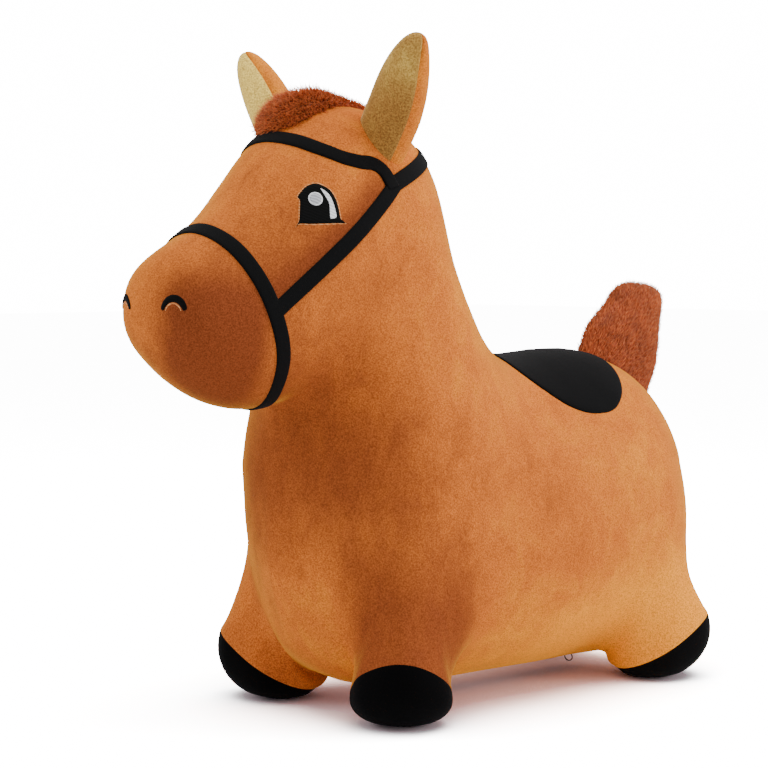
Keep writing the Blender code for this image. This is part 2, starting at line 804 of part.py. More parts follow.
def make_wire(name, points, radius, holder, closed):
    curve = bpy.data.curves.new(name, "CURVE")
    curve.dimensions = "3D"
    curve.bevel_depth = radius
    curve.bevel_resolution = 1
    curve.use_fill_caps = True
    spline = curve.splines.new("POLY")
    spline.points.add(len(points) - 1)
    for point, place in zip(spline.points, points):
        point.co = (*place, 1)
    spline.use_cyclic_u = closed
    drawn = bpy.data.objects.new(name + "_path", curve)
    cutters.objects.link(drawn)
    mesh = evaluated_mesh(drawn)
    bpy.data.objects.remove(drawn)
    welded = bmesh.new()
    welded.from_mesh(mesh)
    bmesh.ops.remove_doubles(welded, verts=welded.verts, dist=weld_distance)
    welded.to_mesh(mesh)
    welded.free()
    return add_piece(name, mesh, holder[0], holder[1])


# Slider: a channel under the coils with a bail for the ring pull
slider_along = coil_rear - slider_length / 2 - seam_gap
plate_high = coil_low - pull_clearance
plate_low = plate_high - slider_plate
pull_up = plate_low - pull_clearance - pull_wire / 2
bail_up = pull_up - pull_wire / 2 - pull_clearance - bail_wire / 2
slider_pivot = make_pivot("zip_slider_frame", Matrix.Translation((0, slider_along, coil_low)))
slider = make_box("zip_slider", Vector((slider_width, slider_length, slider_plate)),
                  Vector((0, 0, plate_low + slider_plate / 2 - coil_low)), horse, slider_pivot, edge_round)
flange_inner = coil_edge + pull_clearance
for side, sign in sides.items():
    flange = make_box(f"slider_flange_{side}",
                      Vector((slider_width / 2 - flange_inner, slider_length - 2 * edge_round,
                              slider_flange + slider_plate / 2)),
                      Vector((sign * (slider_width / 2 + flange_inner - 2 * edge_round) / 2, 0,
                              plate_high - coil_low + (slider_flange - slider_plate / 2) / 2)),
                      cutters, slider_pivot)
    combine(slider, flange, "UNION")
bail_turns = [math.pi * step / 8 for step in range(9)]
bail_drop = plate_low - bail_up
bail_points = [(0, -math.cos(turn) * bail_length / 2,
                plate_low - coil_low - math.sin(turn) * bail_drop) for turn in bail_turns]
root_height = Vector((0, 0, slider_plate / 2))
bail_points = [Vector(bail_points[0]) + root_height, *bail_points, Vector(bail_points[-1]) + root_height]
bail = make_wire("slider_bail", bail_points, bail_wire / 2, (cutters, slider_pivot), False)
combine(slider, bail, "UNION")
finish(slider, dark_metal, 0.35)
pull_pivot = make_pivot("zip_pull_hinge", Matrix.Translation((0, slider_along, pull_up)))
ring_points = [(x, 0, y - pull_height / 2) for x, y in ellipse(pull_width / 2, pull_height / 2, 20)]
pull = make_wire("zip_pull", ring_points, pull_wire / 2, (horse, pull_pivot), True)
finish(pull, dark_metal, 0.35)

# Bladder and valve
bladder_out = cover_depth + seam_gap
valve_along = valve_share * body_length
roof = belly + bladder_out + recess_depth
valve_frame = Matrix.Translation((0, valve_along, roof))


def drum(radius, high, low):
    return [(0, high), (radius, high), (radius, low), (0, low)]


bladder = add_piece("air_bladder", raised_skin("air_bladder", -bladder_out))
cavity = add_piece("cavity", raised_skin("cavity", -bladder_out - bladder_depth), cutters)
combine(cavity, make_turned("recess_wall", drum(recess_radius + bladder_depth, bladder_depth,
                                                -recess_depth - cut_overrun), valve_frame, cutters))
combine(bladder, make_turned("recess", drum(recess_radius, 0, -recess_depth - cut_overrun),
                             valve_frame, cutters))
combine(bladder, cavity, folded=True)
combine(bladder, make_turned("valve_hole", drum(valve_tube_radius + seam_gap, cut_overrun,
                                                -cut_overrun), valve_frame, cutters))
finish(bladder, clear_vinyl, 0.3)
flange_high = -seam_gap
flange_low = flange_high - valve_flange
valve_seat = make_turned("valve_seat", [
    (valve_tube_radius, valve_tube_length), (valve_tube_radius, flange_high),
    (valve_radius, flange_high), (valve_radius, flange_low),
    (valve_bore_radius, flange_low), (valve_bore_radius, valve_tube_length)], valve_frame)
finish(valve_seat, clear_vinyl, 0.3)
head_high = flange_low - seam_gap
stem_radius = valve_bore_radius - seam_gap
valve_plug = make_turned("valve_plug", [
    (0, head_high + plug_stem_length), (stem_radius, head_high + plug_stem_length),
    (stem_radius, head_high), (plug_head_radius, head_high),
    (plug_head_radius, head_high - plug_head_depth), (0, head_high - plug_head_depth)], valve_frame)
finish(valve_plug, white_thread, 0.4)
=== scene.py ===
"""Hopping horse, dressed: brushed plush cover, velvet hooves, ribbon bridle, fur and embroidery.

The horse looks along -Y, its left side is +X, and it stands on its hooves at z = 0. Metres.
"""
import json
import math
import random

import bmesh
import bpy
from mathutils import Matrix, Vector, noise
from mathutils.bvhtree import BVHTree

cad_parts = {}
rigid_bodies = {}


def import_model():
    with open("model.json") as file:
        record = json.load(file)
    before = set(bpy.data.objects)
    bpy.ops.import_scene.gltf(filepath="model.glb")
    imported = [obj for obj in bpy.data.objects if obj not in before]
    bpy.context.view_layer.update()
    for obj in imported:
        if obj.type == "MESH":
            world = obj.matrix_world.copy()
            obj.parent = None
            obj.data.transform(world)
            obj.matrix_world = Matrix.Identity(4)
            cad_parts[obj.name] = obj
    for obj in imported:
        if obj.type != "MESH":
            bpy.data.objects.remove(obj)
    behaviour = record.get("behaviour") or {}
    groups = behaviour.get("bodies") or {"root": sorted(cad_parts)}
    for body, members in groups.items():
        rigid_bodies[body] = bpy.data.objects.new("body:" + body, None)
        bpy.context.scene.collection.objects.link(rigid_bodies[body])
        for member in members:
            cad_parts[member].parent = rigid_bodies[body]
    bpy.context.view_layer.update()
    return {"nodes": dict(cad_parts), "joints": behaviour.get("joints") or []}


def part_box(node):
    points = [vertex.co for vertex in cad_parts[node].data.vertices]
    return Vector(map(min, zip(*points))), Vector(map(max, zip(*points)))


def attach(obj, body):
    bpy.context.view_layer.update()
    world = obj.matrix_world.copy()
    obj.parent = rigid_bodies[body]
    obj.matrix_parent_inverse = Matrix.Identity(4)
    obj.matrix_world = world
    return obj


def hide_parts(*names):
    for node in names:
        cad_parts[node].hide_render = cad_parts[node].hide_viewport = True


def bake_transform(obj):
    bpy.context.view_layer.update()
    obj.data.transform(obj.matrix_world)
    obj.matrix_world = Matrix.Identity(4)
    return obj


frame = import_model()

# Sizes of the whole horse and its side outline, as the solid horse has them
body_length = 0.640
body_width = 0.246
poll_height = 0.500
flat_cut = 0.0005
section_shares = (
    (0.444, 0.400, 0.444, 0.200, 0.34),
    (0.417, 0.520, 0.419, 0.095, 0.60),
    (0.345, 0.584, 0.369, 0.035, 0.84),
    (0.251, 0.608, 0.254, 0.035, 0.95),
    (0.153, 0.594, 0.153, 0.035, 0.97),
    (0.089, 0.598, 0.044, 0.035, 0.96),
    (0.055, 0.630, -0.081, 0.035, 0.95),
    (0.025, 0.690, -0.204, 0.055, 0.94),
    (0.001, 0.750, -0.264, 0.210, 0.91),
    (-0.017, 0.810, -0.270, 0.370, 0.79),
    (-0.024, 0.880, -0.253, 0.475, 0.71),
    (-0.043, 0.965, -0.261, 0.530, 0.68),
    (-0.111, 1.022, -0.277, 0.535, 0.67),
    (-0.209, 1.034, -0.295, 0.530, 0.65),
    (-0.285, 0.966, -0.314, 0.526, 0.60),
    (-0.356, 0.850, -0.339, 0.524, 0.55),
    (-0.408, 0.803, -0.380, 0.535, 0.51),
    (-0.459, 0.772, -0.434, 0.572, 0.44),
    (-0.474, 0.726, -0.466, 0.624, 0.28),
)
rump_shares = (0.453, 0.300)
nose_shares = (-0.479, 0.682)
fan_turns = [math.radians(turn) for turn in (0, 35, 68, 98, 124, 158, 180)]
low_swell_share = 0.06
neck_section = 9
head_section = 11
muzzle_section = 15
hoof_radius = 0.044
leg_height = 0.085
leg_fan = (3, 5)
leg_bays = {"front": 6, "hind": 1}
hoof_shares = {"front": (0.715, -0.175), "hind": (0.715, 0.341)}
leg_level_shares = (
    (0.12, 1.26, 0.80, 0.44),
    (0.09, 0.73, 1.01, 0.00),
    (0.05, 0.30, 0.93, 0.00),
    (0.00, 0.00, 0.54, 0.20),
)
leg_rise_power = 1.6
leg_turns = [math.radians(turn) for turn in (-45, -90, -135, 180, 135, 90, 45, 0)]
ring_swell = 6 / (4 + 2 * math.cos(math.pi / (len(fan_turns) - 1)))
leg_swell = 6 / (4 + 2 * math.cos(math.tau / len(leg_turns)))
far = 2 * body_length
sides = {"left": 1, "right": -1}
regions = ["torso", "neck", "head", "muzzle", "front_leg", "hind_leg", "front_hoof", "hind_hoof"]
joints = {joint["name"]: joint for joint in frame["joints"]}


# The photo's view: a long lens, level but for a slight tilt
view_lens = 99.6
view_place = (1.349, -1.279, 0.38)
view_turns = [math.radians(turn) for turn in (86.7, 0, 47.7)]


def set_camera():
    """Long lens three quarter view from the horse's front left."""
    lens = bpy.data.cameras.new("photo_view")
    lens.lens = view_lens
    camera = bpy.data.objects.new("photo_view", lens)
    camera.location = view_place
    camera.rotation_euler = view_turns
    bpy.context.scene.collection.objects.link(camera)
    bpy.context.scene.camera = camera


set_camera()


def work_on(piece=None):
    """Leaves only this piece selected and active, in object mode."""
    if bpy.context.object and bpy.context.object.mode != "OBJECT":
        bpy.ops.object.mode_set(mode="OBJECT")
    bpy.ops.object.select_all(action="DESELECT")
    if piece:
        bpy.context.view_layer.objects.active = piece
        piece.select_set(True)


def start_edit(piece, mode="VERT"):
    work_on(piece)
    bpy.ops.object.mode_set(mode="EDIT")
    bpy.ops.mesh.select_mode(type=mode)
    bpy.ops.mesh.select_all(action="DESELECT")
    return bmesh.from_edit_mesh(piece.data)


def end_edit():
    bpy.ops.object.mode_set(mode="OBJECT")


def face_away(piece, middle):
    """Turns a sheet's faces so that they look away from a point inside the horse."""
    total = sum((face.center - Vector(middle)).dot(face.normal) * face.area
                for face in piece.data.polygons)
    if total < 0:
        piece.data.flip_normals()


merge_reach = 0.00002


def laid_grid(name, across, along, place, middle):
    """A flat grid whose points are laid where place(share across, share along) says."""
    work_on()
    bpy.ops.mesh.primitive_grid_add(x_subdivisions=across, y_subdivisions=along, size=2)
    piece = bpy.context.object
    piece.name = piece.data.name = name
    for vertex in piece.data.vertices:
        vertex.co = place((vertex.co.x + 1) / 2, (vertex.co.y + 1) / 2)
    start_edit(piece)
    bpy.ops.mesh.select_all(action="SELECT")
    bpy.ops.mesh.remove_doubles(threshold=merge_reach)
    bpy.ops.mesh.normals_make_consistent(inside=False)
    end_edit()
    piece.data.update()
    face_away(piece, middle)
    piece.data.shade_smooth()
    return piece


def through(rows, share):
    """Smooth curve through rows of numbers, read at a share of its length."""
    spot = min(max(share, 0), 1) * (len(rows) - 1)
    first = min(int(spot), len(rows) - 2)
    t = spot - first
    before, near, beyond, after = (rows[min(max(first + step, 0), len(rows) - 1)]
                                   for step in (-1, 0, 1, 2))
    return [b + 0.5 * t * (c - a + t * (2 * a - 5 * b + 4 * c - d + t * (3 * (b - c) + d - a)))
            for a, b, c, d in zip(before, near, beyond, after)]


def blend_share(low, high, value):
    """Smooth step from 0 at low to 1 at high; low may be the greater."""
    t = min(max((value - low) / (high - low), 0), 1)
    return t * t * (3 - 2 * t)


def faded(value, limits):
    """Share that is left of 1 once each pair of soft limits is passed."""
    return math.prod(blend_share(low, high, value) for low, high in limits)


def round_off(share):
    """Height of a half circle over a share that runs from -1 to 1."""
    return math.sqrt(max(0.0, 1 - share * share))


def outline_point(shares):
    return Vector((0, shares[0] * body_length, shares[1] * poll_height))


# The form of the whole horse

bay_step = 10
hoof_level = 2
form_levels = 3
mirror_reach = 0.0001


def section_point(row, turn):
    back, belly = outline_point(row[:2]), outline_point(row[2:4])
    side = math.sin(turn) * row[4] * body_width / 2
    if turn > math.pi / 2:
        side *= 1 - low_swell_share * math.sin(2 * turn)
    point = (back + belly) / 2 + (back - belly) / 2 * math.cos(turn) * ring_swell
    point.x = side * ring_swell
    return point


def region_of(station):
    for region, end in (("torso", neck_section), ("neck", head_section), ("head", muzzle_section)):
        if station < end:
            return region
    return "muzzle"


def leg_point(place, level, step):
    """One point of a leg's ring: low on the inside, high on the outside."""
    inside, outside, radius, tuck = leg_level_shares[level]
    out_share, along_share = hoof_shares[place]
    outward = Vector((1, math.copysign(1, along_share), 0)).normalized()
    way = Vector((math.cos(leg_turns[step]), math.sin(leg_turns[step]), 0))
    point = Vector((out_share * body_width / 2, along_share * body_length, -flat_cut))
    point += way * radius * hoof_radius * leg_swell - outward * tuck * hoof_radius
    rise = ((1 + way.dot(outward)) / 2) ** leg_rise_power
    point.z += leg_height * (inside + (outside - inside) * rise)
    return point


def make_form():
    """A grid laid over the sections, legs drawn out of their bays, mirrored and smoothed."""
    fans, stations = len(fan_turns) - 1, len(section_shares) - 1
    work_on()
    bpy.ops.mesh.primitive_grid_add(x_subdivisions=fans, y_subdivisions=stations, size=2)
    form = bpy.context.object
    form.name = form.data.name = "plush_form"
    cage = start_edit(form, "FACE")
    leg_step = cage.verts.layers.int.new("leg_step")
    spots = {}
    for vertex in cage.verts:
        fan = round((vertex.co.x + 1) / 2 * fans)
        station = round((vertex.co.y + 1) / 2 * stations)
        spots[station, fan] = vertex
    middle = leg_fan[0] + 1
    low, high = leg_fan
    for number, first in enumerate(leg_bays.values()):
        loop = ((first + 2, low), (first + 2, middle), (first + 2, high), (first + 1, high),
                (first, high), (first, middle), (first, low), (first + 1, low))
        for step, spot in enumerate(loop):
            spots[spot][leg_step] = bay_step * (number + 1) + step
    for face in cage.faces:
        centre = face.calc_center_median()
        station = int((centre.y + 1) / 2 * stations)
        fan = int((centre.x + 1) / 2 * fans)
        face.material_index = regions.index(region_of(station))
        face.select_set(any(first <= station < first + 2 for first in leg_bays.values())
                        and low <= fan < high)
    for (station, fan), vertex in spots.items():
        vertex.co = section_point(section_shares[station], fan_turns[fan])
    for station, tip_shares, region in ((0, rump_shares, "torso"), (stations, nose_shares, "muzzle")):
        tip = cage.verts.new(outline_point(tip_shares))
        for fan in range(0, fans, 2):
            corners = [spots[station, fan + step] for step in range(3)]
            cap = cage.faces.new((tip, *(corners if station else reversed(corners))))
            cap.material_index = regions.index(region)
    bmesh.update_edit_mesh(form.data)
    bpy.ops.mesh.delete(type="FACE")
    bpy.ops.mesh.select_mode(type="EDGE")
    for number, place in enumerate(leg_bays):
        for level in range(len(leg_level_shares)):
            cage = bmesh.from_edit_mesh(form.data)
            leg_step = cage.verts.layers.int["leg_step"]
            if level == 0:
                bpy.ops.mesh.select_all(action="DESELECT")
                for edge in cage.edges:
                    at_bay = all(end[leg_step] // bay_step == number + 1 for end in edge.verts)
                    if edge.is_boundary and at_bay:
                        edge.select_set(True)
                bmesh.update_edit_mesh(form.data)
            bpy.ops.mesh.extrude_edges_move()
            cage = bmesh.from_edit_mesh(form.data)
            leg_step = cage.verts.layers.int["leg_step"]
            region = place + ("_leg" if level < hoof_level else "_hoof")
            for vertex in cage.verts:
                if vertex.select:
                    vertex.co = leg_point(place, level, vertex[leg_step] % bay_step)
                    for face in vertex.link_faces:
                        face.material_index = regions.index(region)
            bmesh.update_edit_mesh(form.data)
        bpy.ops.mesh.edge_face_add()
        cage = bmesh.from_edit_mesh(form.data)
        for face in cage.faces:
            if face.select:
                face.material_index = regions.index(region)
        bmesh.update_edit_mesh(form.data)
    bpy.ops.mesh.select_all(action="SELECT")
    bpy.ops.mesh.normals_make_consistent(inside=False)
    end_edit()
    for region in regions:
        form.data.materials.append(None)
    mirror = form.modifiers.new("both_sides", "MIRROR")
    mirror.merge_threshold = mirror_reach
    smooth = form.modifiers.new("smooth", "SUBSURF")
    smooth.levels = smooth.render_levels = form_levels
    for modifier in ("both_sides", "smooth"):
        bpy.ops.object.modifier_apply(modifier=modifier)
    return form


# Swells of the filled plush, and the pleats round each leg root
hill_height, hill_fineness = 0.0013, 12
ripple_height, ripple_fineness = 0.0005, 37
ripple_start = Vector((3, 1, 2))
pleat_height = 0.0004
pleat_count = 7
pleat_wander, pleat_fineness = 3, 11
pleat_middle = 0.045
pleat_reach = (0.115, 0.055)
pleat_foot = (0.004, 0.030)
root_low, root_high = 0.060, 0.20
root_out_share = 0.12
root_along_share = 0.19
root_rounds, root_softening = 26, 0.5


def soft_swell(point):
    """How far the filled plush stands proud or sinks: broad hills, and creases at the leg roots."""
    height = hill_height * noise.noise(point * hill_fineness)
    height += ripple_height * noise.noise(point * ripple_fineness + ripple_start)
    for out_share, along_share in hoof_shares.values():
        root = Vector((math.copysign(out_share * body_width / 2, point.x), along_share * body_length,
                       pleat_middle))
        reach = point - root
        near = blend_share(*pleat_reach, reach.length) * blend_share(*pleat_foot, point.z)
        wander = pleat_wander * noise.noise(point * pleat_fineness)
        turn = math.atan2(reach.y, reach.x)
        height += pleat_height * near * math.sin(pleat_count * turn + wander)
    return height


# Painted shadow of the head on the chest and of the cheek strap on the cheek, painted shade on the left of
# the muzzle, painted light on the rump, thighs, belly and back
# Painted shade and painted light by area, partly the brushing of the pile: amount, whether on the left
# alone, soft limits along and up the horse
nap_and_painted_light_areas = {
    "muzzle side": (-1.00, True, ((-0.34, -0.41),), ((0.80, 0.66),)),
    "chest": (-0.80, False, ((-0.06, -0.27),), ((0.68, 0.48), (0.14, 0.42))),
    "cheek": (-0.30, True, ((-0.12, -0.22),), ((0.96, 0.80), (0.50, 0.66))),
    "rump": (0.15, False, ((-0.05, 0.30),), ()),
    "thighs": (0.35, False, ((-0.05, 0.30),), ((0.30, 0.10),)),
    "belly": (0.80, False, ((-0.10, 0.02),), ((0.28, 0.08),)),
    "back": (0.30, False, ((-0.14, -0.02),), ((0.58, 0.72),)),
}
left_facing = (-0.20, 0.50)
# Darker on the outer fronts of the fore legs, the left far more than the right
fore_leg_lies = {"left": -0.90, "right": -0.22}
fore_leg_out_share = (0.30, 0.60)
fore_leg_along_share = (0.0, -0.12)
fore_leg_up_share = (0.36, 0.16)
cheek_strap_shares = ((-0.356, 0.680), (-0.162, 0.887))
# Painted shadow of the cheek strap on the plush just ahead of it
strap_lie = -0.70
strap_ahead = ((0.036, 0.006), (-0.008, 0.0))
strap_beside_shares = ((-0.1, 0.1), (1.1, 0.9))


def strap_painted_shadow(point):
    """Painted shadow of the cheek strap on the plush ahead of it: 1 at the strap, 0 well ahead of it."""
    low, high = (outline_point(pair) for pair in cheek_strap_shares)
    way = (high - low).normalized()
    reach = Vector((0, point.y, point.z)) - low
    ahead = reach.dot(Vector((0, -way.z, way.y)))
    beside = reach.dot(way) / (high - low).length
    return faded(ahead, strap_ahead) * faded(beside, strap_beside_shares)


def lie_of_pile(point, normal):
    """Painted shade and painted light, partly how the pile is brushed: below 0 it looks deep, above 0 it
    looks pale.
    """
    along, up = point.y / body_length, point.z / poll_height
    turned = blend_share(*left_facing, normal.x)
    lie = strap_lie * strap_painted_shadow(point)
    for amount, left_only, along_limits, up_limits in nap_and_painted_light_areas.values():
        share = faded(along, along_limits) * faded(up, up_limits)
        lie += amount * share * (turned if left_only else 1)
    share = blend_share(*fore_leg_out_share, abs(point.x) * 2 / body_width)
    share *= blend_share(*fore_leg_along_share, along) * blend_share(*fore_leg_up_share, up)
    return lie + fore_leg_lies["left" if point.x > 0 else "right"] * share


def near_leg_root(point):
    """Whether a point of the form lies where a leg grows out of the trunk."""
    beside = any(abs(point.y / body_length - along_share) < root_along_share
                 for out_share, along_share in hoof_shares.values())
    return root_low < point.z < root_high and abs(point.x) * 2 / body_width > root_out_share and beside


def settle_form(form):
    """Softens the leg roots, swells the form, flattens the soles and keeps its normals."""
    mesh = form.data
    cage = start_edit(form)
    for vertex in cage.verts:
        vertex.select_set(near_leg_root(vertex.co))
    bmesh.update_edit_mesh(mesh)
    bpy.ops.mesh.vertices_smooth(factor=root_softening, repeat=root_rounds)
    end_edit()
    moved = [vertex.co + vertex.normal * soft_swell(vertex.co) for vertex in mesh.vertices]
    for vertex, point in zip(mesh.vertices, moved):
        point.z = max(point.z, 0.0)
        vertex.co = point
    mesh.update()
    mesh.shade_smooth()
    mesh.attributes.new("form_normal", "FLOAT_VECTOR", "POINT")
    mesh.attributes.new("lie", "FLOAT", "POINT")
    normals, lies = mesh.attributes["form_normal"], mesh.attributes["lie"]
    for vertex, entry, lie in zip(mesh.vertices, normals.data, lies.data):
        entry.vector = vertex.normal
        lie.value = lie_of_pile(vertex.co, vertex.normal)


form = make_form()
settle_form(form)
form_points = [vertex.co.copy() for vertex in form.data.vertices]
skin = BVHTree.FromPolygons(form_points, [tuple(face.vertices) for face in form.data.polygons])


def on_skin(origin, way, height=0.0):
    """Where a line meets the plush, raised along its normal, and that normal."""
    place, normal, face, distance = skin.ray_cast(Vector(origin), Vector(way))
    if place is None:
        place, normal, face, distance = skin.find_nearest(Vector(origin))
    return place + normal * height, normal


flap_sink = 0.0012
seam_depth = 0.0022


def take_form_normals(piece):
    """Shades a cut piece as the whole form is shaded, so that cuts don't show."""
    mesh = piece.data
    kept = mesh.attributes["form_normal"]
    normals = [tuple(entry.vector) for entry in kept.data]
    mesh.normals_split_custom_set_from_vertices(normals)
    mesh.attributes.remove(mesh.attributes["form_normal"])


def cut_piece(name, region, sign, flap=0):
    """Copy of the form cut down to one region on one side, with rows of flap that slip inside."""
    work_on(form)
    bpy.ops.object.duplicate()
    piece = bpy.context.object
    piece.name = piece.data.name = name
    cut = start_edit(piece, "FACE")
    index = regions.index(region)
    for face in cut.faces:
        face.select_set(face.material_index == index
                        and (not sign or face.calc_center_median().x * sign > 0))
    own = {vertex.index for face in cut.faces if face.select for vertex in face.verts}
    bmesh.update_edit_mesh(piece.data)
    for row in range(flap):
        bpy.ops.mesh.select_more()
    bpy.ops.mesh.select_all(action="INVERT")
    cut = bmesh.from_edit_mesh(piece.data)
    normals = cut.verts.layers.float_vector["form_normal"]
    hoof = regions.index("front_hoof")
    for vertex in cut.verts:
        if vertex.index not in own:
            vertex.co -= vertex[normals] * flap_sink
    for face in cut.faces:
        if region.endswith("_leg") and face.material_index >= hoof:
            face.select_set(True)
    bmesh.update_edit_mesh(piece.data)
    bpy.ops.mesh.delete(type="FACE")
    end_edit()
    return piece


def turn_in(piece, is_wanted, depth=seam_depth):
    """Extrudes the wanted open edges into the seam."""
    cut = start_edit(piece, "EDGE")
    for edge in cut.edges:
        edge.select_set(edge.is_boundary and is_wanted(edge))
    bmesh.update_edit_mesh(piece.data)
    bpy.ops.mesh.extrude_edges_move()
    cut = bmesh.from_edit_mesh(piece.data)
    normals = cut.verts.layers.float_vector["form_normal"]
    for vertex in cut.verts:
        if vertex.select:
            vertex.co -= vertex[normals] * depth
    bmesh.update_edit_mesh(piece.data)
    end_edit()


# Finishes

class Wires:
    """Short calls for the nodes of one shader tree."""

    def __init__(self, tree):
        self.tree = tree

    def node(self, kind, sockets=None, **settings):
        """Adds a node, sets it up and links or fills its inputs."""
        node = self.tree.nodes.new(kind)
        for setting, value in settings.items():
            setattr(node, setting, value)
        for socket, value in (sockets or {}).items():
            self.feed(node.inputs[socket], value)
        return node

    def feed(self, target, value):
        if isinstance(value, bpy.types.NodeSocket):
            self.tree.links.new(value, target)
        else:
            target.default_value = value

    def attribute(self, label):
        return self.node("ShaderNodeAttribute", attribute_name=label).outputs["Fac"]

    def noise(self, where, scale, detail, roughness, distortion=0.0):
        return self.node("ShaderNodeTexNoise", {
            "Vector": where, "Scale": scale, "Detail": detail, "Roughness": roughness,
            "Distortion": distortion}).outputs["Fac"]

    def ranged(self, value, low, high, start=0.0, end=1.0):
        node = self.node("ShaderNodeMapRange", {"Value": value, "From Min": low, "From Max": high,
                                                "To Min": start, "To Max": end})
        node.interpolation_type = "SMOOTHSTEP"
        return node.outputs["Result"]

    def sum(self, operation, first, second=0.0):
        return self.node("ShaderNodeMath", {0: first, 1: second}, operation=operation).outputs[0]

    def times(self, first, second):
        return self.sum("MULTIPLY", first, second)

    def add(self, first, *others):
        for other in others:
            first = self.sum("ADD", first, other)
        return first

    def wave(self, turn):
        """Sine of a turn, brought between 0 and 1."""
        return self.add(self.times(self.sum("SINE", turn), 0.5), 0.5)

    def mixed(self, share, first, second, blend="MIX"):
        node = self.node("ShaderNodeMix", data_type="RGBA", blend_type=blend)
        for socket, value in (("Factor_Float", share), ("A_Color", first), ("B_Color", second)):
            self.feed(next(entry for entry in node.inputs if entry.identifier == socket), value)
        return next(entry for entry in node.outputs if entry.identifier == "Result_Color")


def start_group(name, colours, numbers):
    """A shader group with its inputs: its wires, what it is given and where it is read."""
    wires = Wires(bpy.data.node_groups.new(name, "ShaderNodeTree"))
    for label in colours:
        wires.tree.interface.new_socket(label, in_out="INPUT", socket_type="NodeSocketColor")
    for label, value in numbers.items():
        made = wires.tree.interface.new_socket(label, in_out="INPUT", socket_type="NodeSocketFloat")
        made.default_value = value
    return wires, wires.node("NodeGroupInput").outputs, wires.node("ShaderNodeTexCoord").outputs


def end_group(wires, colour, height=None):
    """Gives a group its outputs."""
    results = [("Colour", "NodeSocketColor", colour)]
    if height is not None:
        results.append(("Height", "NodeSocketFloat", height))
    for label, kind, value in results:
        wires.tree.interface.new_socket(label, in_out="OUTPUT", socket_type=kind)
    leave = wires.node("NodeGroupOutput")
    for label, kind, value in results:
        wires.feed(leave.inputs[label], value)
    return wires.tree


# The brushed pile: how sweeps, strokes and the painted light and shade on its points shift its shade,
# where its tones meet, its grain
pile_stretch = (1.0, 0.8, 0.55)
pile_slant = (0.5, 0.0, 0.0)
stroke_fineness = 7.0
fibre_scale = 2100.0
sweep_depth, lie_depth = 0.62, 0.42
steady_lie, steady_share = -0.8, 0.38
deep_to_full = (0.05, 0.55)
full_to_light = (0.45, 1.00)
speck_limits = (0.30, 0.70)
speck_dark, speck_pale = (0.50, 0.44, 0.38, 1), (1.42, 1.50, 1.42, 1)
speck_relief, fibre_relief, stroke_relief = 0.7, 0.4, 0.4


def make_pile_group():
    """Brushed short pile: broad sweeps of shade, soft strokes, the speckle of the fibres and painted light
    and shade read from its points.
    """
    wires, given, spot = start_group("brushed_pile", ("Deep", "Full", "Light"), {
        "Sweep Scale": 7.0, "Strokes": 0.5, "Speckle": 0.35, "Grain Scale": 780.0})
    where = spot["Object"]
    # Painted shade and painted light given at the points, partly the brushing of the pile
    lie = wires.attribute("lie")
    sweep = wires.noise(where, given["Sweep Scale"], 2.0, 0.5, 0.1)
    combed = wires.node("ShaderNodeMapping", {"Vector": where, "Scale": pile_stretch,
                                              "Rotation": pile_slant}).outputs["Vector"]
    stroke = wires.noise(combed, wires.times(given["Sweep Scale"], stroke_fineness), 5.0, 0.66, 0.5)
    speck = wires.noise(where, given["Grain Scale"], 3.0, 0.75)
    fibre = wires.noise(where, fibre_scale, 1.0, 0.5)
    steady = wires.ranged(lie, steady_lie, 0.0, steady_share, 1.0)
    calm = wires.times(wires.add(sweep, -0.5), sweep_depth)
    marks = wires.times(wires.add(stroke, -0.5), given["Strokes"])
    uneven = wires.times(wires.add(calm, marks), steady)
    broad = wires.add(uneven, 0.5, wires.times(lie, lie_depth))
    colour = wires.mixed(wires.ranged(broad, *deep_to_full), given["Deep"], given["Full"])
    colour = wires.mixed(wires.ranged(broad, *full_to_light), colour, given["Light"])
    grain = wires.mixed(wires.ranged(speck, *speck_limits), speck_dark, speck_pale)
    height = wires.add(wires.times(speck, speck_relief), wires.times(fibre, fibre_relief),
                       wires.times(stroke, stroke_relief))
    return end_group(wires, wires.mixed(given["Speckle"], colour, grain, "MULTIPLY"), height)


lock_scale = 55.0
body_share = 0.55
strand_weight, lock_weight = 0.6, 0.9
fur_shade_limits = (0.3, 1.2)
fur_shade_share = 0.75
fur_dark, fur_pale = (0.42, 0.36, 0.32, 1), (1.6, 1.65, 1.75, 1)


def make_fur_group():
    """Long pile: each strand's own tone, darker at its root, in broad combed locks."""
    wires, given, spot = start_group("fur_strands", ("Root", "Body", "Tip"), {})
    along, tone = (wires.attribute(label) for label in ("along", "tone"))
    lock = wires.noise(spot["Object"], lock_scale, 3.0, 0.6, 0.6)
    colour = wires.mixed(wires.ranged(along, 0.0, body_share), given["Root"], given["Body"])
    colour = wires.mixed(wires.ranged(along, body_share, 1.0), colour, given["Tip"])
    shade = wires.add(wires.times(tone, strand_weight), wires.times(lock, lock_weight))
    shade = wires.mixed(wires.ranged(shade, *fur_shade_limits), fur_dark, fur_pale)
    return end_group(wires, wires.mixed(fur_shade_share, colour, shade, "MULTIPLY"))


lint_scale = 420.0
lint_limits = (0.45, 0.80)


def make_weave_group():
    """Ribbon weave read from a strip's own map: fine ribs across and yarns along."""
    wires, given, spot = start_group("ribbon_weave", ("Dark", "Pale"), {"Ribs": 400.0, "Yarns": 26.0})
    parts = wires.node("ShaderNodeSeparateXYZ", {"Vector": spot["UV"]}).outputs
    yarns, ribs = (wires.wave(wires.times(wires.times(parts[side], given[count]), math.tau))
                   for side, count in (("X", "Yarns"), ("Y", "Ribs")))
    weave = wires.times(yarns, ribs)
    lint = wires.noise(spot["Object"], lint_scale, 3.0, 0.7)
    share = wires.times(wires.add(weave, wires.ranged(lint, *lint_limits)), 0.5)
    return end_group(wires, wires.mixed(share, given["Dark"], given["Pale"]), wires.add(weave, lint))


mottle_scale = 90.0
rub_limits = (0.50, 0.72)
mottle_relief = 0.4


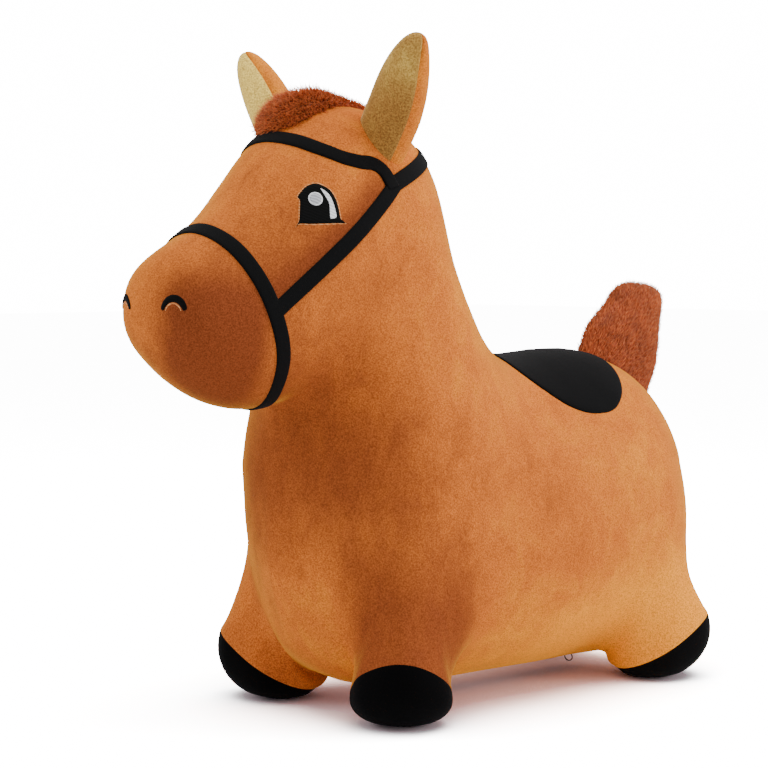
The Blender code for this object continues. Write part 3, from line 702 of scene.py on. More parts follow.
def make_moulded_group():
    """Moulded or plated surface: faint mottling, a fine grain and rubbed patches."""
    wires, given, spot = start_group("moulded_grain", ("Base", "Rubbed"), {
        "Grain Scale": 900.0, "Wear": 0.5})
    mottle = wires.noise(spot["Object"], mottle_scale, 3.0, 0.6)
    grain = wires.noise(spot["Object"], given["Grain Scale"], 2.0, 0.6)
    rub = wires.times(wires.ranged(mottle, *rub_limits), given["Wear"])
    return end_group(wires, wires.mixed(rub, given["Base"], given["Rubbed"]),
                     wires.add(wires.times(mottle, mottle_relief), grain))


stitch_slant = 0.45
stitch_wander, stitch_wander_scale = 6.0, 160.0


def make_stitch_group():
    """Satin stitch: close parallel threads with a little slack between them."""
    wires, given, spot = start_group("satin_stitch", ("Thread", "Gap"), {"Threads": 2400.0})
    wander = wires.noise(spot["Object"], stitch_wander_scale, 2.0, 0.5)
    parts = wires.node("ShaderNodeSeparateXYZ", {"Vector": spot["Object"]}).outputs
    slope = wires.add(parts["Z"], wires.times(parts["Y"], stitch_slant))
    turn = wires.add(wires.times(slope, given["Threads"]), wires.times(wander, stitch_wander))
    wave = wires.wave(turn)
    return end_group(wires, wires.mixed(wave, given["Gap"], given["Thread"]), wave)


pile = make_pile_group()
fur = make_fur_group()
weave = make_weave_group()
stitch = make_stitch_group()
moulded = make_moulded_group()
finishes = {}


def opaque(value):
    """A colour with its alpha, or a number as it is."""
    return (*value, 1) if isinstance(value, tuple) else value


def make_finish(name, group, values, shader, sheen=None, relief=None):
    """A material whose colour and relief come from a group, with fixed numbers on its shader."""
    finish = finishes[name] = bpy.data.materials.new(name)
    finish.use_nodes = True
    wires = Wires(finish.node_tree)
    surface = wires.tree.nodes["Principled BSDF"].inputs
    if sheen:
        shader = {**shader, **dict(zip(("Sheen Weight", "Sheen Roughness", "Sheen Tint"), sheen))}
    for socket, value in shader.items():
        wires.feed(surface[socket], opaque(value))
    cloth = wires.node("ShaderNodeGroup", node_tree=group)
    for socket, value in values.items():
        wires.feed(cloth.inputs[socket], opaque(value))
    wires.feed(surface["Base Color"], cloth.outputs["Colour"])
    if relief:
        strength, distance = relief
        bump = wires.node("ShaderNodeBump", {"Strength": strength, "Distance": distance,
                                             "Height": cloth.outputs["Height"]})
        wires.feed(surface["Normal"], bump.outputs["Normal"])


make_finish("orange_plush", pile, {
    "Deep": (0.212, 0.047, 0.0160), "Full": (0.590, 0.152, 0.0260), "Light": (0.870, 0.310, 0.0260),
    "Sweep Scale": 8.0, "Strokes": 0.62, "Speckle": 0.74},
    {"Roughness": 0.95, "Specular IOR Level": 0.03}, (1.0, 0.26, (1.0, 0.49, 0.06)), (0.42, 0.0005))
make_finish("black_plush", pile, {
    "Deep": (0.0012, 0.0011, 0.0013), "Full": (0.0020, 0.0019, 0.0021),
    "Light": (0.0034, 0.0032, 0.0035), "Sweep Scale": 18.0, "Strokes": 0.6, "Speckle": 0.5},
    {"Roughness": 0.95, "Specular IOR Level": 0.04}, (0.015, 0.5, (0.7, 0.65, 0.7)), (0.45, 0.0005))
make_finish("saddle_plush", pile, {
    "Deep": (0.0014, 0.0014, 0.0015), "Full": (0.0022, 0.0022, 0.0024),
    "Light": (0.0036, 0.0036, 0.0040), "Sweep Scale": 16.0, "Strokes": 0.5, "Speckle": 0.4},
    {"Roughness": 0.85, "Specular IOR Level": 0.06}, (0.03, 0.45, (0.8, 0.8, 0.85)), (0.35, 0.0004))
make_finish("khaki_plush", pile, {
    "Deep": (0.190, 0.080, 0.0170), "Full": (0.330, 0.160, 0.0400), "Light": (0.880, 0.610, 0.1400),
    "Sweep Scale": 10.0, "Strokes": 0.35, "Speckle": 0.85, "Grain Scale": 680.0},
    {"Roughness": 0.95, "Specular IOR Level": 0.05}, (1.0, 0.28, (1.0, 0.78, 0.32)), (0.6, 0.0006))
make_finish("russet_fur", fur, {
    "Root": (0.150, 0.023, 0.0050), "Body": (0.420, 0.074, 0.0140), "Tip": (0.740, 0.195, 0.0460)},
    {"Roughness": 0.55, "Specular IOR Level": 0.25}, (0.15, 0.4, (1.0, 0.5, 0.25)))
make_finish("black_ribbon", weave, {"Dark": (0.0010, 0.0010, 0.0012), "Pale": (0.0034, 0.0034, 0.0040)},
            {"Roughness": 0.85, "Specular IOR Level": 0.10, "Sheen Weight": 0.01}, None, (0.35, 0.0002))
make_finish("black_thread", stitch, {"Thread": (0.0016, 0.0016, 0.0019), "Gap": (0.0006, 0.0006, 0.0006)},
            {"Roughness": 0.75, "Specular IOR Level": 0.08}, None, (0.4, 0.0002))
make_finish("grey_thread", stitch, {"Thread": (0.52, 0.52, 0.56), "Gap": (0.28, 0.28, 0.31)},
            {"Roughness": 0.45, "Specular IOR Level": 0.4}, None, (0.5, 0.0002))
make_finish("white_thread", stitch, {"Thread": (0.90, 0.90, 0.92), "Gap": (0.58, 0.58, 0.62)},
            {"Roughness": 0.45, "Specular IOR Level": 0.4}, None, (0.5, 0.0002))
make_finish("pale_thread", stitch, {"Thread": (0.74, 0.34, 0.13), "Gap": (0.50, 0.15, 0.035)},
            {"Roughness": 0.7, "Specular IOR Level": 0.2}, None, (0.4, 0.0002))
make_finish("black_nylon", moulded, {"Base": (0.006, 0.006, 0.007), "Rubbed": (0.020, 0.020, 0.022)},
            {"Roughness": 0.45, "Specular IOR Level": 0.35}, None, (0.2, 0.0001))
make_finish("dark_metal", moulded, {
    "Base": (0.045, 0.044, 0.046), "Rubbed": (0.30, 0.29, 0.27), "Grain Scale": 1600.0, "Wear": 0.35},
    {"Roughness": 0.32, "Metallic": 1.0}, None, (0.15, 0.0001))
make_finish("clear_vinyl", moulded, {
    "Base": (0.60, 0.56, 0.47), "Rubbed": (0.70, 0.68, 0.60), "Grain Scale": 260.0},
    {"Roughness": 0.28, "Subsurface Weight": 0.15, "Coat Weight": 0.3}, None, (0.12, 0.0003))
make_finish("white_plastic", moulded, {"Base": (0.62, 0.62, 0.64), "Rubbed": (0.48, 0.47, 0.45)},
            {"Roughness": 0.35, "Specular IOR Level": 0.5}, None, (0.12, 0.0002))


def mark_points(piece, label, value):
    """Gives every point of a piece the same number for its finish to read."""
    mesh = piece.data
    mesh.attributes.new(label, "FLOAT", "POINT").data.foreach_set("value", [value] * len(mesh.vertices))


def dress(piece, look, body, *nodes):
    """Gives a finished piece its finish, its body and the solids it stands for."""
    piece.data.materials.clear()
    piece.data.materials.append(finishes[look])
    for face in piece.data.polygons:
        face.material_index = 0
    if body:
        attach(piece, body)
    if nodes:
        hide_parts(*nodes)


# Plush cover

zip_slot_half = 0.0100
zip_slot_spare = 0.0003
zip_slot_top = 0.06
zip_slot_edge = 0.0035
cut_spare = 0.012
edge_spare = 0.0005


def open_zip_slot(torso):
    """Cuts the long opening under the belly and turns its edges in."""
    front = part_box("zip_tape_left")[0][1] - zip_slot_spare
    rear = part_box("zip_tape_right")[1][1] + zip_slot_spare

    def in_slot(point, spare):
        return (abs(point.x) < zip_slot_half + spare and point.z < zip_slot_top
                and front - spare < point.y < rear + spare)

    def select_slot(spare):
        cut = start_edit(torso, "FACE")
        for face in cut.faces:
            face.select_set(in_slot(face.calc_center_median(), spare))
        bmesh.update_edit_mesh(torso.data)

    for spot, way in (((zip_slot_half, 0, 0), (1, 0, 0)), ((-zip_slot_half, 0, 0), (1, 0, 0)),
                      ((0, front, 0), (0, 1, 0)), ((0, rear, 0), (0, 1, 0))):
        select_slot(cut_spare)
        bpy.ops.mesh.bisect(plane_co=spot, plane_no=way)
        end_edit()
    select_slot(0.0)
    bpy.ops.mesh.delete(type="FACE")
    end_edit()
    turn_in(torso, lambda edge: all(in_slot(end.co, edge_spare) for end in edge.verts), zip_slot_edge)


def make_cover():
    for region in ("torso", "neck", "head", "muzzle"):
        piece = cut_piece(region + "_plush", region, 0)
        if region == "torso":
            open_zip_slot(piece)
        take_form_normals(piece)
        dress(piece, "orange_plush", "trunk", region + "_cover")


seam_digits = 5


def make_legs():
    """Leg plush between the trunk and its hoof, which slides up as the bladder gives; the leg plush is
    tied to no body.
    """
    def spot_key(vertex):
        return tuple(round(part, seam_digits) for part in vertex.co)

    for place, (out_share, along_share) in hoof_shares.items():
        for side, sign in sides.items():
            leg = cut_piece(f"leg_plush_{place}_{side}", place + "_leg", sign, flap=2)
            hoof = cut_piece(f"hoof_plush_{place}_{side}", place + "_hoof", sign)
            seam = {spot_key(vertex) for vertex in hoof.data.vertices}
            turn_in(leg, lambda edge: all(spot_key(end) in seam for end in edge.verts))
            turn_in(hoof, lambda edge: True)
            for piece in (leg, hoof):
                take_form_normals(piece)
            dress(leg, "orange_plush", None, f"leg_cover_{place}_{side}")
            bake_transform(leg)
            dress(hoof, "black_plush", f"hoof_{place}_{side}_cap", f"hoof_{place}_{side}")


make_cover()
make_legs()

# Zip and valve

coil_pitch = 0.0020
coil_swell_share = 0.20
coil_steps = 6
bladder_inset = 0.007
bladder_low = 0.024
valve_well_gap = 0.004
valve_well_reach, valve_well_half = 0.010, 0.018


def make_zip_coil(side):
    """One nylon coil of the zip: a close row of rounded turns on the edge of its tape."""
    low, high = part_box(f"zip_coil_{side}")
    middle, half = (low + high) / 2, (high - low) / 2
    turns = round(2 * half.y / coil_pitch)

    def place(u, v):
        if v in (0, 1):
            return middle + Vector((0, (2 * v - 1) * half.y, 0))
        swell = 1 - coil_swell_share + coil_swell_share * math.cos(math.tau * turns * v)
        around = math.tau * u
        return middle + Vector((math.cos(around) * half.x * swell, (2 * v - 1) * half.y,
                                math.sin(around) * half.z * swell))

    coil = laid_grid(f"zip_coil_turns_{side}", 10, turns * coil_steps, place, middle)
    dress(coil, "black_nylon", "trunk", f"zip_coil_{side}")


def finish_solids():
    """Finishes for the solids that show as they are."""
    for look, nodes in (("black_ribbon", ("zip_tape_left", "zip_tape_right")),
                        ("dark_metal", ("zip_stop_front", "zip_stop_rear", "zip_slider", "zip_pull")),
                        ("clear_vinyl", ("valve_seat",)), ("white_plastic", ("valve_plug",))):
        for node in nodes:
            for holder in frame["nodes"][node].material_slots:
                holder.link = "OBJECT"
                holder.material = finishes[look]


def make_bladder():
    """Filled vinyl bladder inside the cover, hollowed over its valve; it stops above the hooves."""
    low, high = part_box("valve_seat")
    valve = (low + high) / 2
    work_on(form)
    bpy.ops.object.duplicate()
    bladder = bpy.context.object
    bladder.name = bladder.data.name = "bladder_shell"
    shell = start_edit(bladder)
    shell.normal_update()
    for vertex in shell.verts:
        vertex.co -= vertex.normal * bladder_inset
    for vertex in shell.verts:
        aside = Vector((vertex.co.x - valve.x, vertex.co.y - valve.y)).length
        over_valve = vertex.co.z < high.z + valve_well_reach and aside < valve_well_half
        vertex.co.z = max(vertex.co.z, high.z + valve_well_gap if over_valve else bladder_low)
    bmesh.update_edit_mesh(bladder.data)
    end_edit()
    dress(bladder, "clear_vinyl", "trunk", "air_bladder")


for side in sides:
    make_zip_coil(side)
make_bladder()
finish_solids()

# Bridle

ribbon_width = 0.0128
ribbon_profile = ((-0.50, -0.8), (-0.50, 0.5), (-0.47, 1.0), (-0.38, 1.25), (-0.20, 1.3), (0.0, 1.3),
                  (0.20, 1.3), (0.38, 1.25), (0.47, 1.0), (0.50, 0.5), (0.50, -0.8))
ribbon_depth = 0.0013
noseband_shares = ((-0.419, 0.880), (-0.293, 0.480))
headstall_shares = (*cheek_strap_shares, (0.009, 0.976))
cheek_share = 0.30
cheek_bend, crown_bend = (0.8, 1.0), (0.25, 0.0)
brow_hub = Vector((0, -0.135, 0.425))
brow_points = (
    (0.0670, -0.1090, 0.4310), (0.0680, -0.1115, 0.4420), (0.0660, -0.1155, 0.4525),
    (0.0645, -0.1240, 0.4585), (0.0635, -0.1360, 0.4600), (0.0600, -0.1491, 0.4635),
    (0.0530, -0.1590, 0.4680), (0.0440, -0.1677, 0.4730), (0.0310, -0.1735, 0.4775),
    (0.0160, -0.1766, 0.4800), (0.0000, -0.1773, 0.4810),
)
brow_start_share = 0.07
brow_step_share = 0.004
brow_lift, brow_lift_share = 0.0010, 0.35
head_middle = (0, -0.145, 0.395)


def across_of(way):
    """Direction square to a line of the side view, within the side view."""
    return Vector((0, -way.z, way.y))


def make_ribbon(name, node, along, route):
    """A ribbon whose route(share) gives a line's start, its direction, its cross direction and lift."""
    def place(u, v):
        origin, out, across, lift = route(v)
        wide, high = ribbon_profile[round(u * (len(ribbon_profile) - 1))]
        return on_skin(origin + across * wide * ribbon_width, out, high * ribbon_depth + lift)[0]

    ribbon = laid_grid(name, len(ribbon_profile) - 1, along, place, head_middle)
    dress(ribbon, "black_ribbon", "trunk", node)


def fan_middle(line):
    """Middle of the arch or loop that a plane through a side line cuts in the head."""
    start, end = (outline_point(pair) for pair in line)
    way = (end - start).normalized()
    half = (start + end) / 2
    return (on_skin(half, -way)[0] + on_skin(half, way)[0]) / 2, way


def make_bridle():
    middle, down = fan_middle(noseband_shares)
    low, corner, crown = (outline_point(pair) for pair in headstall_shares)
    cheek, over = ((end - corner).normalized() for end in (low, crown))

    def noseband(v):
        turn = math.tau * v
        return middle, Vector((math.cos(turn), 0, 0)) + down * math.sin(turn), across_of(down), 0.0

    def turned(way, other, bend):
        """Cross direction of one strap, eased towards the other's at the corner."""
        return (across_of(way) * (1 - bend) - across_of(other) * bend).normalized()

    def headstall(v):
        """Up one cheek, over behind the ears, and down the other."""
        side = 1 if v < 0.5 else -1
        part = min(v, 1 - v)
        if part < cheek_share:
            bend = blend_share(*cheek_bend, part / cheek_share) / 2
            origin = low + (corner - low) * part / cheek_share
            return origin, Vector((side, 0, 0)), -turned(cheek, over, bend), 0.0
        turn = math.pi / 2 * (part - cheek_share) / (0.5 - cheek_share)
        out = Vector((side * math.cos(turn), 0, 0)) + over * math.sin(turn)
        return corner, out, turned(over, cheek, blend_share(*crown_bend, turn) / 2), 0.0

    def browband(v):
        """Rounded corner out of one cheek strap, over the brow, and into the other."""
        share = brow_start_share + 2 * (1 - brow_start_share) * min(v, 1 - v)
        here, before, after = (Vector(through(brow_points, share + step))
                               for step in (0, -brow_step_share, brow_step_share))
        along = after - before
        if v > 0.5:
            for way in (here, along):
                way.x = -way.x
            along.negate()
        out = (here - brow_hub).normalized()
        across = (along - out * along.dot(out)).normalized().cross(out)
        return brow_hub, out, across, brow_lift * blend_share(brow_lift_share, 0.0, share)

    make_ribbon("noseband_ribbon", "noseband", 180, noseband)
    make_ribbon("headstall_ribbon", "headstall", 240, headstall)
    make_ribbon("browband_ribbon", "browband", 200, browband)


make_bridle()

# Saddle patch

seat_middle = Vector((0, 0.1229, 0.40))
seat_half = (0.091, 0.074)
seat_fullness = 2.35
seat_rise = 0.0016
seat_inside = (0, 0.12, 0.15)
seat_levels = ((0.0, 1.0), (0.2, 1.0), (0.4, 1.0), (0.6, 1.0), (0.75, 1.0), (0.86, 1.0), (0.93, 1.0),
               (0.965, 0.97), (0.985, 0.85), (0.997, 0.55), (1.0, 0.1), (0.996, -0.5))


def seat_point(u, v):
    reach, high = seat_levels[round(u * (len(seat_levels) - 1))]
    turn = math.tau * v
    side, along = (math.copysign(abs(part) ** (2 / seat_fullness) * half, part)
                   for part, half in zip((math.cos(turn), math.sin(turn)), seat_half))
    start = seat_middle + Vector((side, along, 0)) * reach
    return on_skin(start, (0, 0, -1), high * seat_rise)[0]


seat = laid_grid("saddle_patch", len(seat_levels) - 1, 120, seat_point, seat_inside)
dress(seat, "saddle_plush", "trunk", "seat_patch")

# Face

patch_start = 0.03
patch_edge_share = 0.8
patch_tuck = 0.0006


def surface_frame(place, normal):
    """Frame on the plush: Z out of it and Y as far up as it allows."""
    up = Vector((0, 0, 1))
    rise = (up - normal * up.dot(normal)).normalized()
    turn = Matrix((rise.cross(normal), rise, normal)).transposed().to_4x4()
    return Matrix.Translation(place) @ turn


def closed_curve(points, share):
    """Smooth closed curve through 2D points."""
    count = len(points)
    rows = [points[(step - 1) % count] for step in range(count + 3)]
    spot = (share % 1.0) * count
    return Vector(through(rows, (1 + spot) / (len(rows) - 1)))


def point_middle(points):
    return sum((Vector(point) for point in points), Vector((0, 0))) / len(points)


def make_patch(name, here, outline, depth, rounds, turns, look, *nodes):
    """Raised stitched patch: a filled outline laid on the plush, rounded down at its edge."""
    middle = point_middle(outline)
    down = -(here.to_3x3() @ Vector((0, 0, 1)))

    def place(u, v):
        reach = min(u * rounds / (rounds - 1), 1)
        edge = max(0.0, (reach - patch_edge_share) / (1 - patch_edge_share))
        high = -patch_tuck if u == 1 else depth * round_off(edge)
        flat = middle + (closed_curve(outline, v) - middle) * reach
        return on_skin(here @ Vector((*flat, patch_start)), down, high)[0]

    dress(laid_grid(name, rounds, turns, place, head_middle), look, "trunk", *nodes)


eye_size = (0.0415, 0.0380)
eye_shares = (-0.283, 0.850)
eye_outline_shares = (
    (-0.50, -0.50), (-0.42, -0.44), (-0.20, -0.45), (0.10, -0.43), (0.36, -0.40), (0.52, -0.38),
    (0.43, -0.30), (0.40, -0.05), (0.36, 0.14), (0.26, 0.34), (0.10, 0.46), (-0.04, 0.50),
    (-0.20, 0.44), (-0.31, 0.33), (-0.40, 0.20), (-0.37, 0.10), (-0.40, -0.15), (-0.43, -0.36),
)
crescent_outline_shares = (
    (0.04, 0.40), (0.14, 0.34), (0.24, 0.20), (0.30, 0.00), (0.335, -0.24), (0.325, -0.32),
    (0.20, -0.35), (0.195, -0.20), (0.20, -0.02), (0.17, 0.16), (0.11, 0.30),
)
eye_rim_width = 0.0005
glint_radius = 0.0066
glint_inner_share = 0.80
glint_shares = (-0.06, 0.12)
glint_steps = 16
eye_depth, eye_rim_depth = 0.0011, 0.0006
glint_rim_depth, glint_depth, crescent_depth = 0.0014, 0.0017, 0.0014


def make_eye(side, sign):
    along, up = eye_shares[0] * body_length, eye_shares[1] * poll_height
    here = surface_frame(*on_skin((sign * far, along, up), (-sign, 0, 0)))
    size = Vector((eye_size[0] * sign, eye_size[1]))

    def drawn(shares, grow=0.0):
        points = [Vector(pair) * size for pair in shares]
        middle = point_middle(points)
        return [point + (point - middle).normalized() * grow for point in points]

    def ring(radius):
        turns = [math.tau * step / glint_steps for step in range(glint_steps)]
        return [Vector(glint_shares) * size + Vector((math.cos(turn), math.sin(turn))) * radius
                for turn in turns]

    for name, outline, depth, rounds, turns, look, *nodes in (
            ("eye_stitches", drawn(eye_outline_shares), eye_depth, 12, 120, "black_thread", "eye_patch"),
            ("eye_rim", drawn(eye_outline_shares, eye_rim_width), eye_rim_depth, 10, 120, "pale_thread"),
            ("eye_glint_rim", ring(glint_radius), glint_rim_depth, 8, 48, "white_thread"),
            ("eye_glint", ring(glint_radius * glint_inner_share), glint_depth, 8, 48, "grey_thread",
             "eye_highlight"),
            ("eye_crescent_stitches", drawn(crescent_outline_shares), crescent_depth, 8, 80,
             "white_thread", "eye_crescent")):
        make_patch(f"{name}_{side}", here, outline, depth, rounds, turns, look,
                   *(f"{node}_{side}" for node in nodes))


nostril_radius = 0.0110
nostril_width = 0.0052
nostril_depth = 0.0011
nostril_shares = (0.258, 0.678)
nostril_span = math.radians(150)
nostril_height_share = 1.15
nostril_blunt_share = 0.15
nostril_end_share = 0.02
nostril_start = 0.02
nostril_sink = 0.0001
nostril_rim_width, nostril_rim_depth = 0.0012, 0.0006
nostril_rim_place_share, nostril_rim_span_share = 0.62, 0.94


def make_nostril(side, sign):
    out, up = nostril_shares[0] * body_width / 2, nostril_shares[1] * poll_height
    here = surface_frame(*on_skin((sign * out, -far, up), (0, 1, 0)))
    down = -(here.to_3x3() @ Vector((0, 0, 1)))

    def make_arc(name, radius, width, depth, span, look, *nodes):
        """Curved row of stitches, blunt at both ends."""
        def laid(u, v):
            turn = math.pi / 2 + span * (v - 0.5)
            thin = math.sin(math.pi * v) ** nostril_blunt_share if 0 < v < 1 else nostril_end_share
            high = depth * round_off(2 * u - 1) * thin - nostril_sink
            reach = radius + (u - 0.5) * width * thin
            flat = Vector((math.cos(turn) * reach, math.sin(turn) * reach * nostril_height_share,
                           nostril_start))
            return on_skin(here @ flat, down, high)[0]

        dress(laid_grid(name, 8, 48, laid, head_middle), look, "trunk", *nodes)

    make_arc(f"nostril_stitches_{side}", nostril_radius, nostril_width, nostril_depth, nostril_span,
             "black_thread", f"nostril_{side}")
    make_arc(f"nostril_rim_{side}", nostril_radius - nostril_width * nostril_rim_place_share,
             nostril_rim_width, nostril_rim_depth, nostril_span * nostril_rim_span_share, "pale_thread")


for side, sign in sides.items():
    make_eye(side, sign)
    make_nostril(side, sign)

# Ears

ear_length = 0.1015
ear_half_width = 0.0252
ear_half_thickness = 0.0195
ear_rocker = 0.012
ear_middle = 0.03
ear_foot_shifts = {"left": (0.007, 0.016), "right": (0.000, 0.003)}
ear_foot_sink = 0.005
ear_foot_share = 0.15
ear_shift_share = 0.75
ear_seam_turn = math.radians(24)
ear_seam_pull_share, ear_seam_high_share = 0.085, 0.4
# Painted light on each ear's back and front halves: the right ear is painted paler than the left
ear_lies = {"left": (0.35, 0.0), "right": (0.6, 1.0)}
ear_level_shares = ((0.00, 0.97, 0.96), (0.12, 0.99, 1.00), (0.26, 0.97, 0.99), (0.42, 0.93, 0.94),
                    (0.58, 0.84, 0.86), (0.72, 0.71, 0.76), (0.84, 0.55, 0.62), (0.92, 0.40, 0.46),
                    (0.975, 0.22, 0.27), (1.0, 0.0, 0.0))


def hinge_frame(name, rise_of):
    """Frame of a hinge: X along its axis, Z up the piece that it carries."""
    axis = Vector(joints[name]["axis"]).normalized()
    rise = rise_of(axis)
    turn = Matrix((axis, rise.cross(axis), rise)).transposed().to_4x4()
    return Matrix.Translation(Vector(joints[name]["pos_m"])) @ turn


def make_ear(side, sign):
    here = hinge_frame(f"ear_{side}_flex", lambda axis: axis.cross(Vector((0, 1, 0))).normalized())
    rise = ear_length - ear_rocker
    down = -(here.to_3x3() @ Vector((0, 0, 1)))
    inward, back = ear_foot_shifts[side]
    foot_shift = here.to_3x3().inverted() @ Vector((-sign * inward, back, 0))
    foot_shift.z = 0

    def wall(around, share):
        """Round the ear and up it; the foot slips under the plush of the head."""
        share = max(share, 0)
        up, wide, thick = through(ear_level_shares, share)
        point = Vector((math.cos(around) * wide * ear_half_width,
                        math.sin(around) * thick * ear_half_thickness, up * rise))
        point += foot_shift * blend_share(ear_shift_share, 0.0, share)
        if share < ear_foot_share:
            root = on_skin(here @ Vector((point.x, point.y, rise / 2)), down)[0]
            foot = (here.inverted() @ root).z - ear_foot_sink
            point.z = foot + (ear_foot_share * rise - foot) * share / ear_foot_share
        return here @ point

    def half(first, last):
        """One half of the ear's wall, drawn in at its seams."""
        def place(u, v):
            point = wall(first + (last - first) * u, v)
            if u in (0, 1):
                point = point.lerp(here @ Vector((0, 0, ear_seam_high_share * rise)), ear_seam_pull_share)
            return point
        return place

    start, end = -ear_seam_turn, math.pi + ear_seam_turn
    halves = (("back", 26, half(start, end), "orange_plush", (f"ear_stuffing_{side}",)),
              ("front", 22, half(end, start + math.tau), "khaki_plush", ()))
    for (name, across, place, look, inside), lie in zip(halves, ear_lies[side]):
        piece = laid_grid(f"ear_{name}_plush_{side}", across, 48, place, here @ Vector((0, 0, ear_middle)))
        dress(piece, look, f"ear_{side}", f"ear_{name}_{side}", *inside)
        mark_points(piece, "lie", lie)


for side, sign in sides.items():
    make_ear(side, sign)

# Fur

strand_knee_share, strand_knee_width_share = 0.45, 0.85
strand_sides = 3
strand_root_sink = 0.0008
strand_length_shares, strand_width_shares = (0.65, 1.15), (0.7, 1.2)
root_rise, root_lean, root_stray = 0.9, 0.9, 0.5
tip_rise, tip_lean = 0.35, 1.3
core_mark = 0.35


def make_strands(name, roots):
    """Tapered strands in one mesh; a root gives place, both directions, length, width and tone."""
    points, faces, along, tones = [], [], [], []
    for place, way, end_way, length, width, tone in roots:
        side = way.orthogonal().normalized()
        other = way.cross(side).normalized()
        first = len(points)
        for share, thick in ((0.0, 1.0), (strand_knee_share, strand_knee_width_share)):
            centre = place + way.lerp(end_way, share / 2) * length * share
            for step in range(strand_sides):
                turn = math.tau * step / strand_sides
                points.append(centre + (side * math.cos(turn) + other * math.sin(turn)) * width * thick)
                along.append(share)
        points.append(place + way.lerp(end_way, 0.5) * length)
        along.append(1.0)
        tones += [tone] * (2 * strand_sides + 1)
        knee, tip = first + strand_sides, first + 2 * strand_sides
        for step in range(strand_sides):
            after = (step + 1) % strand_sides
            faces.append((first + step, first + after, knee + after, knee + step))
            faces.append((knee + step, knee + after, tip))
    mesh = bpy.data.meshes.new(name)
    mesh.from_pydata(points, [], faces)
    for label, values in (("along", along), ("tone", tones)):
        mesh.attributes.new(label, "FLOAT", "POINT").data.foreach_set("value", values)
    mesh.shade_smooth()
    piece = bpy.data.objects.new(name, mesh)
    bpy.context.scene.collection.objects.link(piece)
    return piece


def scatter(piece, count, seed, comb, length, width, stray, tones=(0.0, 1.0)):
    """Roots spread evenly over a core's faces, each combed its own way."""
    dice = random.Random(seed)
    faces = piece.data.polygons
    total = sum(face.area for face in faces)
    roots = []
    for face in faces:
        wanted = count * face.area / total
        number = int(wanted) + (dice.random() < wanted % 1)
        corners = [piece.data.vertices[index].co for index in face.vertices]
        for strand in range(number):
            a, b = dice.random(), dice.random()
            if len(corners) == 4:
                place = (corners[0].lerp(corners[1], a)).lerp(corners[3].lerp(corners[2], a), b)
            else:
                if a + b > 1:
                    a, b = 1 - a, 1 - b
                place = corners[0] + (corners[1] - corners[0]) * a + (corners[2] - corners[0]) * b
            normal = face.normal
            lean = comb(place, normal)
            wild = Vector((dice.gauss(0, 1), dice.gauss(0, 1), dice.gauss(0, 1))) * stray
            way = (normal * root_rise + lean * root_lean + wild * root_stray).normalized()
            end_way = (normal * tip_rise + lean * tip_lean + wild).normalized()
            size = length(place) * dice.uniform(*strand_length_shares)
            roots.append((place - normal * strand_root_sink, way, end_way, size,
                          width * dice.uniform(*strand_width_shares), dice.uniform(*tones)))
    return roots


def make_fur(name, body, nodes, grid, point, middle, strands):
    """A mound or core of short pile with its strands; the core takes the strands' finish."""
    core = laid_grid(name + "_core", *grid, point, middle)
    for label in ("along", "tone"):
        mark_points(core, label, core_mark)
    dress(core, "russet_fur", body, *nodes)
    dress(make_strands(name + "_strands", scatter(core, **strands)), "russet_fur", body)
    return core


forelock_rows = ((0.0, 0.0, 0.000), (0.04, 0.66, 0.007), (0.12, 0.96, 0.013), (0.25, 1.0, 0.0145),
                 (0.42, 0.88, 0.011), (0.60, 0.70, 0.0065), (0.78, 0.58, 0.004), (0.92, 0.46, 0.003),
                 (1.0, 0.0, 0.0))
forelock_hub = Vector((0, -0.105, 0.440))
forelock_turns = (math.radians(146), math.radians(55))
forelock_half_width = 0.027
forelock_shift = 0.010
forelock_rim_sink = 0.0012
forelock_way = Vector((0, -1, -0.35))
forelock_part, forelock_part_start = 0.5, 0.003
forelock_comb_share = 0.6
forelock_brow = -0.12
forelock_inside = (0, -0.12, 0.42)
forelock_strand_lengths = (0.0095, 0.0065)


def forelock_point(u, v):
    """A mound along the top of the head, from the brow to between the ears."""
    share, wide, high = through(forelock_rows, v)
    turn = forelock_turns[0] + (forelock_turns[1] - forelock_turns[0]) * share
    out = Vector((0, math.cos(turn), math.sin(turn)))
    side = math.cos(math.pi * u)
    shift = side * forelock_half_width * max(wide, 0) - forelock_shift * (1 - share)
    dome = round_off(side)
    height = max(high, 0) * dome - forelock_rim_sink * (1 - dome)
    return on_skin(forelock_hub + Vector((shift, 0, 0)), out, height)[0]


def forelock_lean(place, normal):
    """Forward and down over the brow, parted a little to the sides."""
    part = math.copysign(forelock_part, place.x) if abs(place.x) > forelock_part_start else 0
    lean = forelock_way + Vector((part, 0, 0))
    return (lean - normal * lean.dot(normal)) * forelock_comb_share


def forelock_length(place):
    return forelock_strand_lengths[0 if place.y < forelock_brow else 1]


make_fur("forelock", "trunk", ("forelock",), (12, 36), forelock_point, forelock_inside,
         {"count": 6400, "seed": 11, "comb": forelock_lean, "length": forelock_length,
          "width": 0.00034, "stray": 0.60, "tones": (0.45, 1.0)})

mane_top, mane_drop = 0.463, 0.102
mane_half_width = 0.0155
mane_height, mane_rim_sink = 0.0075, 0.001
mane_blunt_share = 0.22
mane_part, mane_back, mane_down = 0.25, 0.1, -0.8
mane_start = 0.12
mane_inside = (0, -0.1, 0.38)


def mane_point(u, v):
    """A low mound down the back of the neck, behind the headstall."""
    taper = math.sin(math.pi * v) ** mane_blunt_share if 0 < v < 1 else 0
    side = math.cos(math.pi * u)
    start = (side * mane_half_width * taper, mane_start, mane_top - mane_drop * v)
    return on_skin(start, (0, -1, 0), mane_height * taper * round_off(side) - mane_rim_sink)[0]


def mane_lean(place, normal):
    return Vector((math.copysign(mane_part, place.x), mane_back, mane_down))


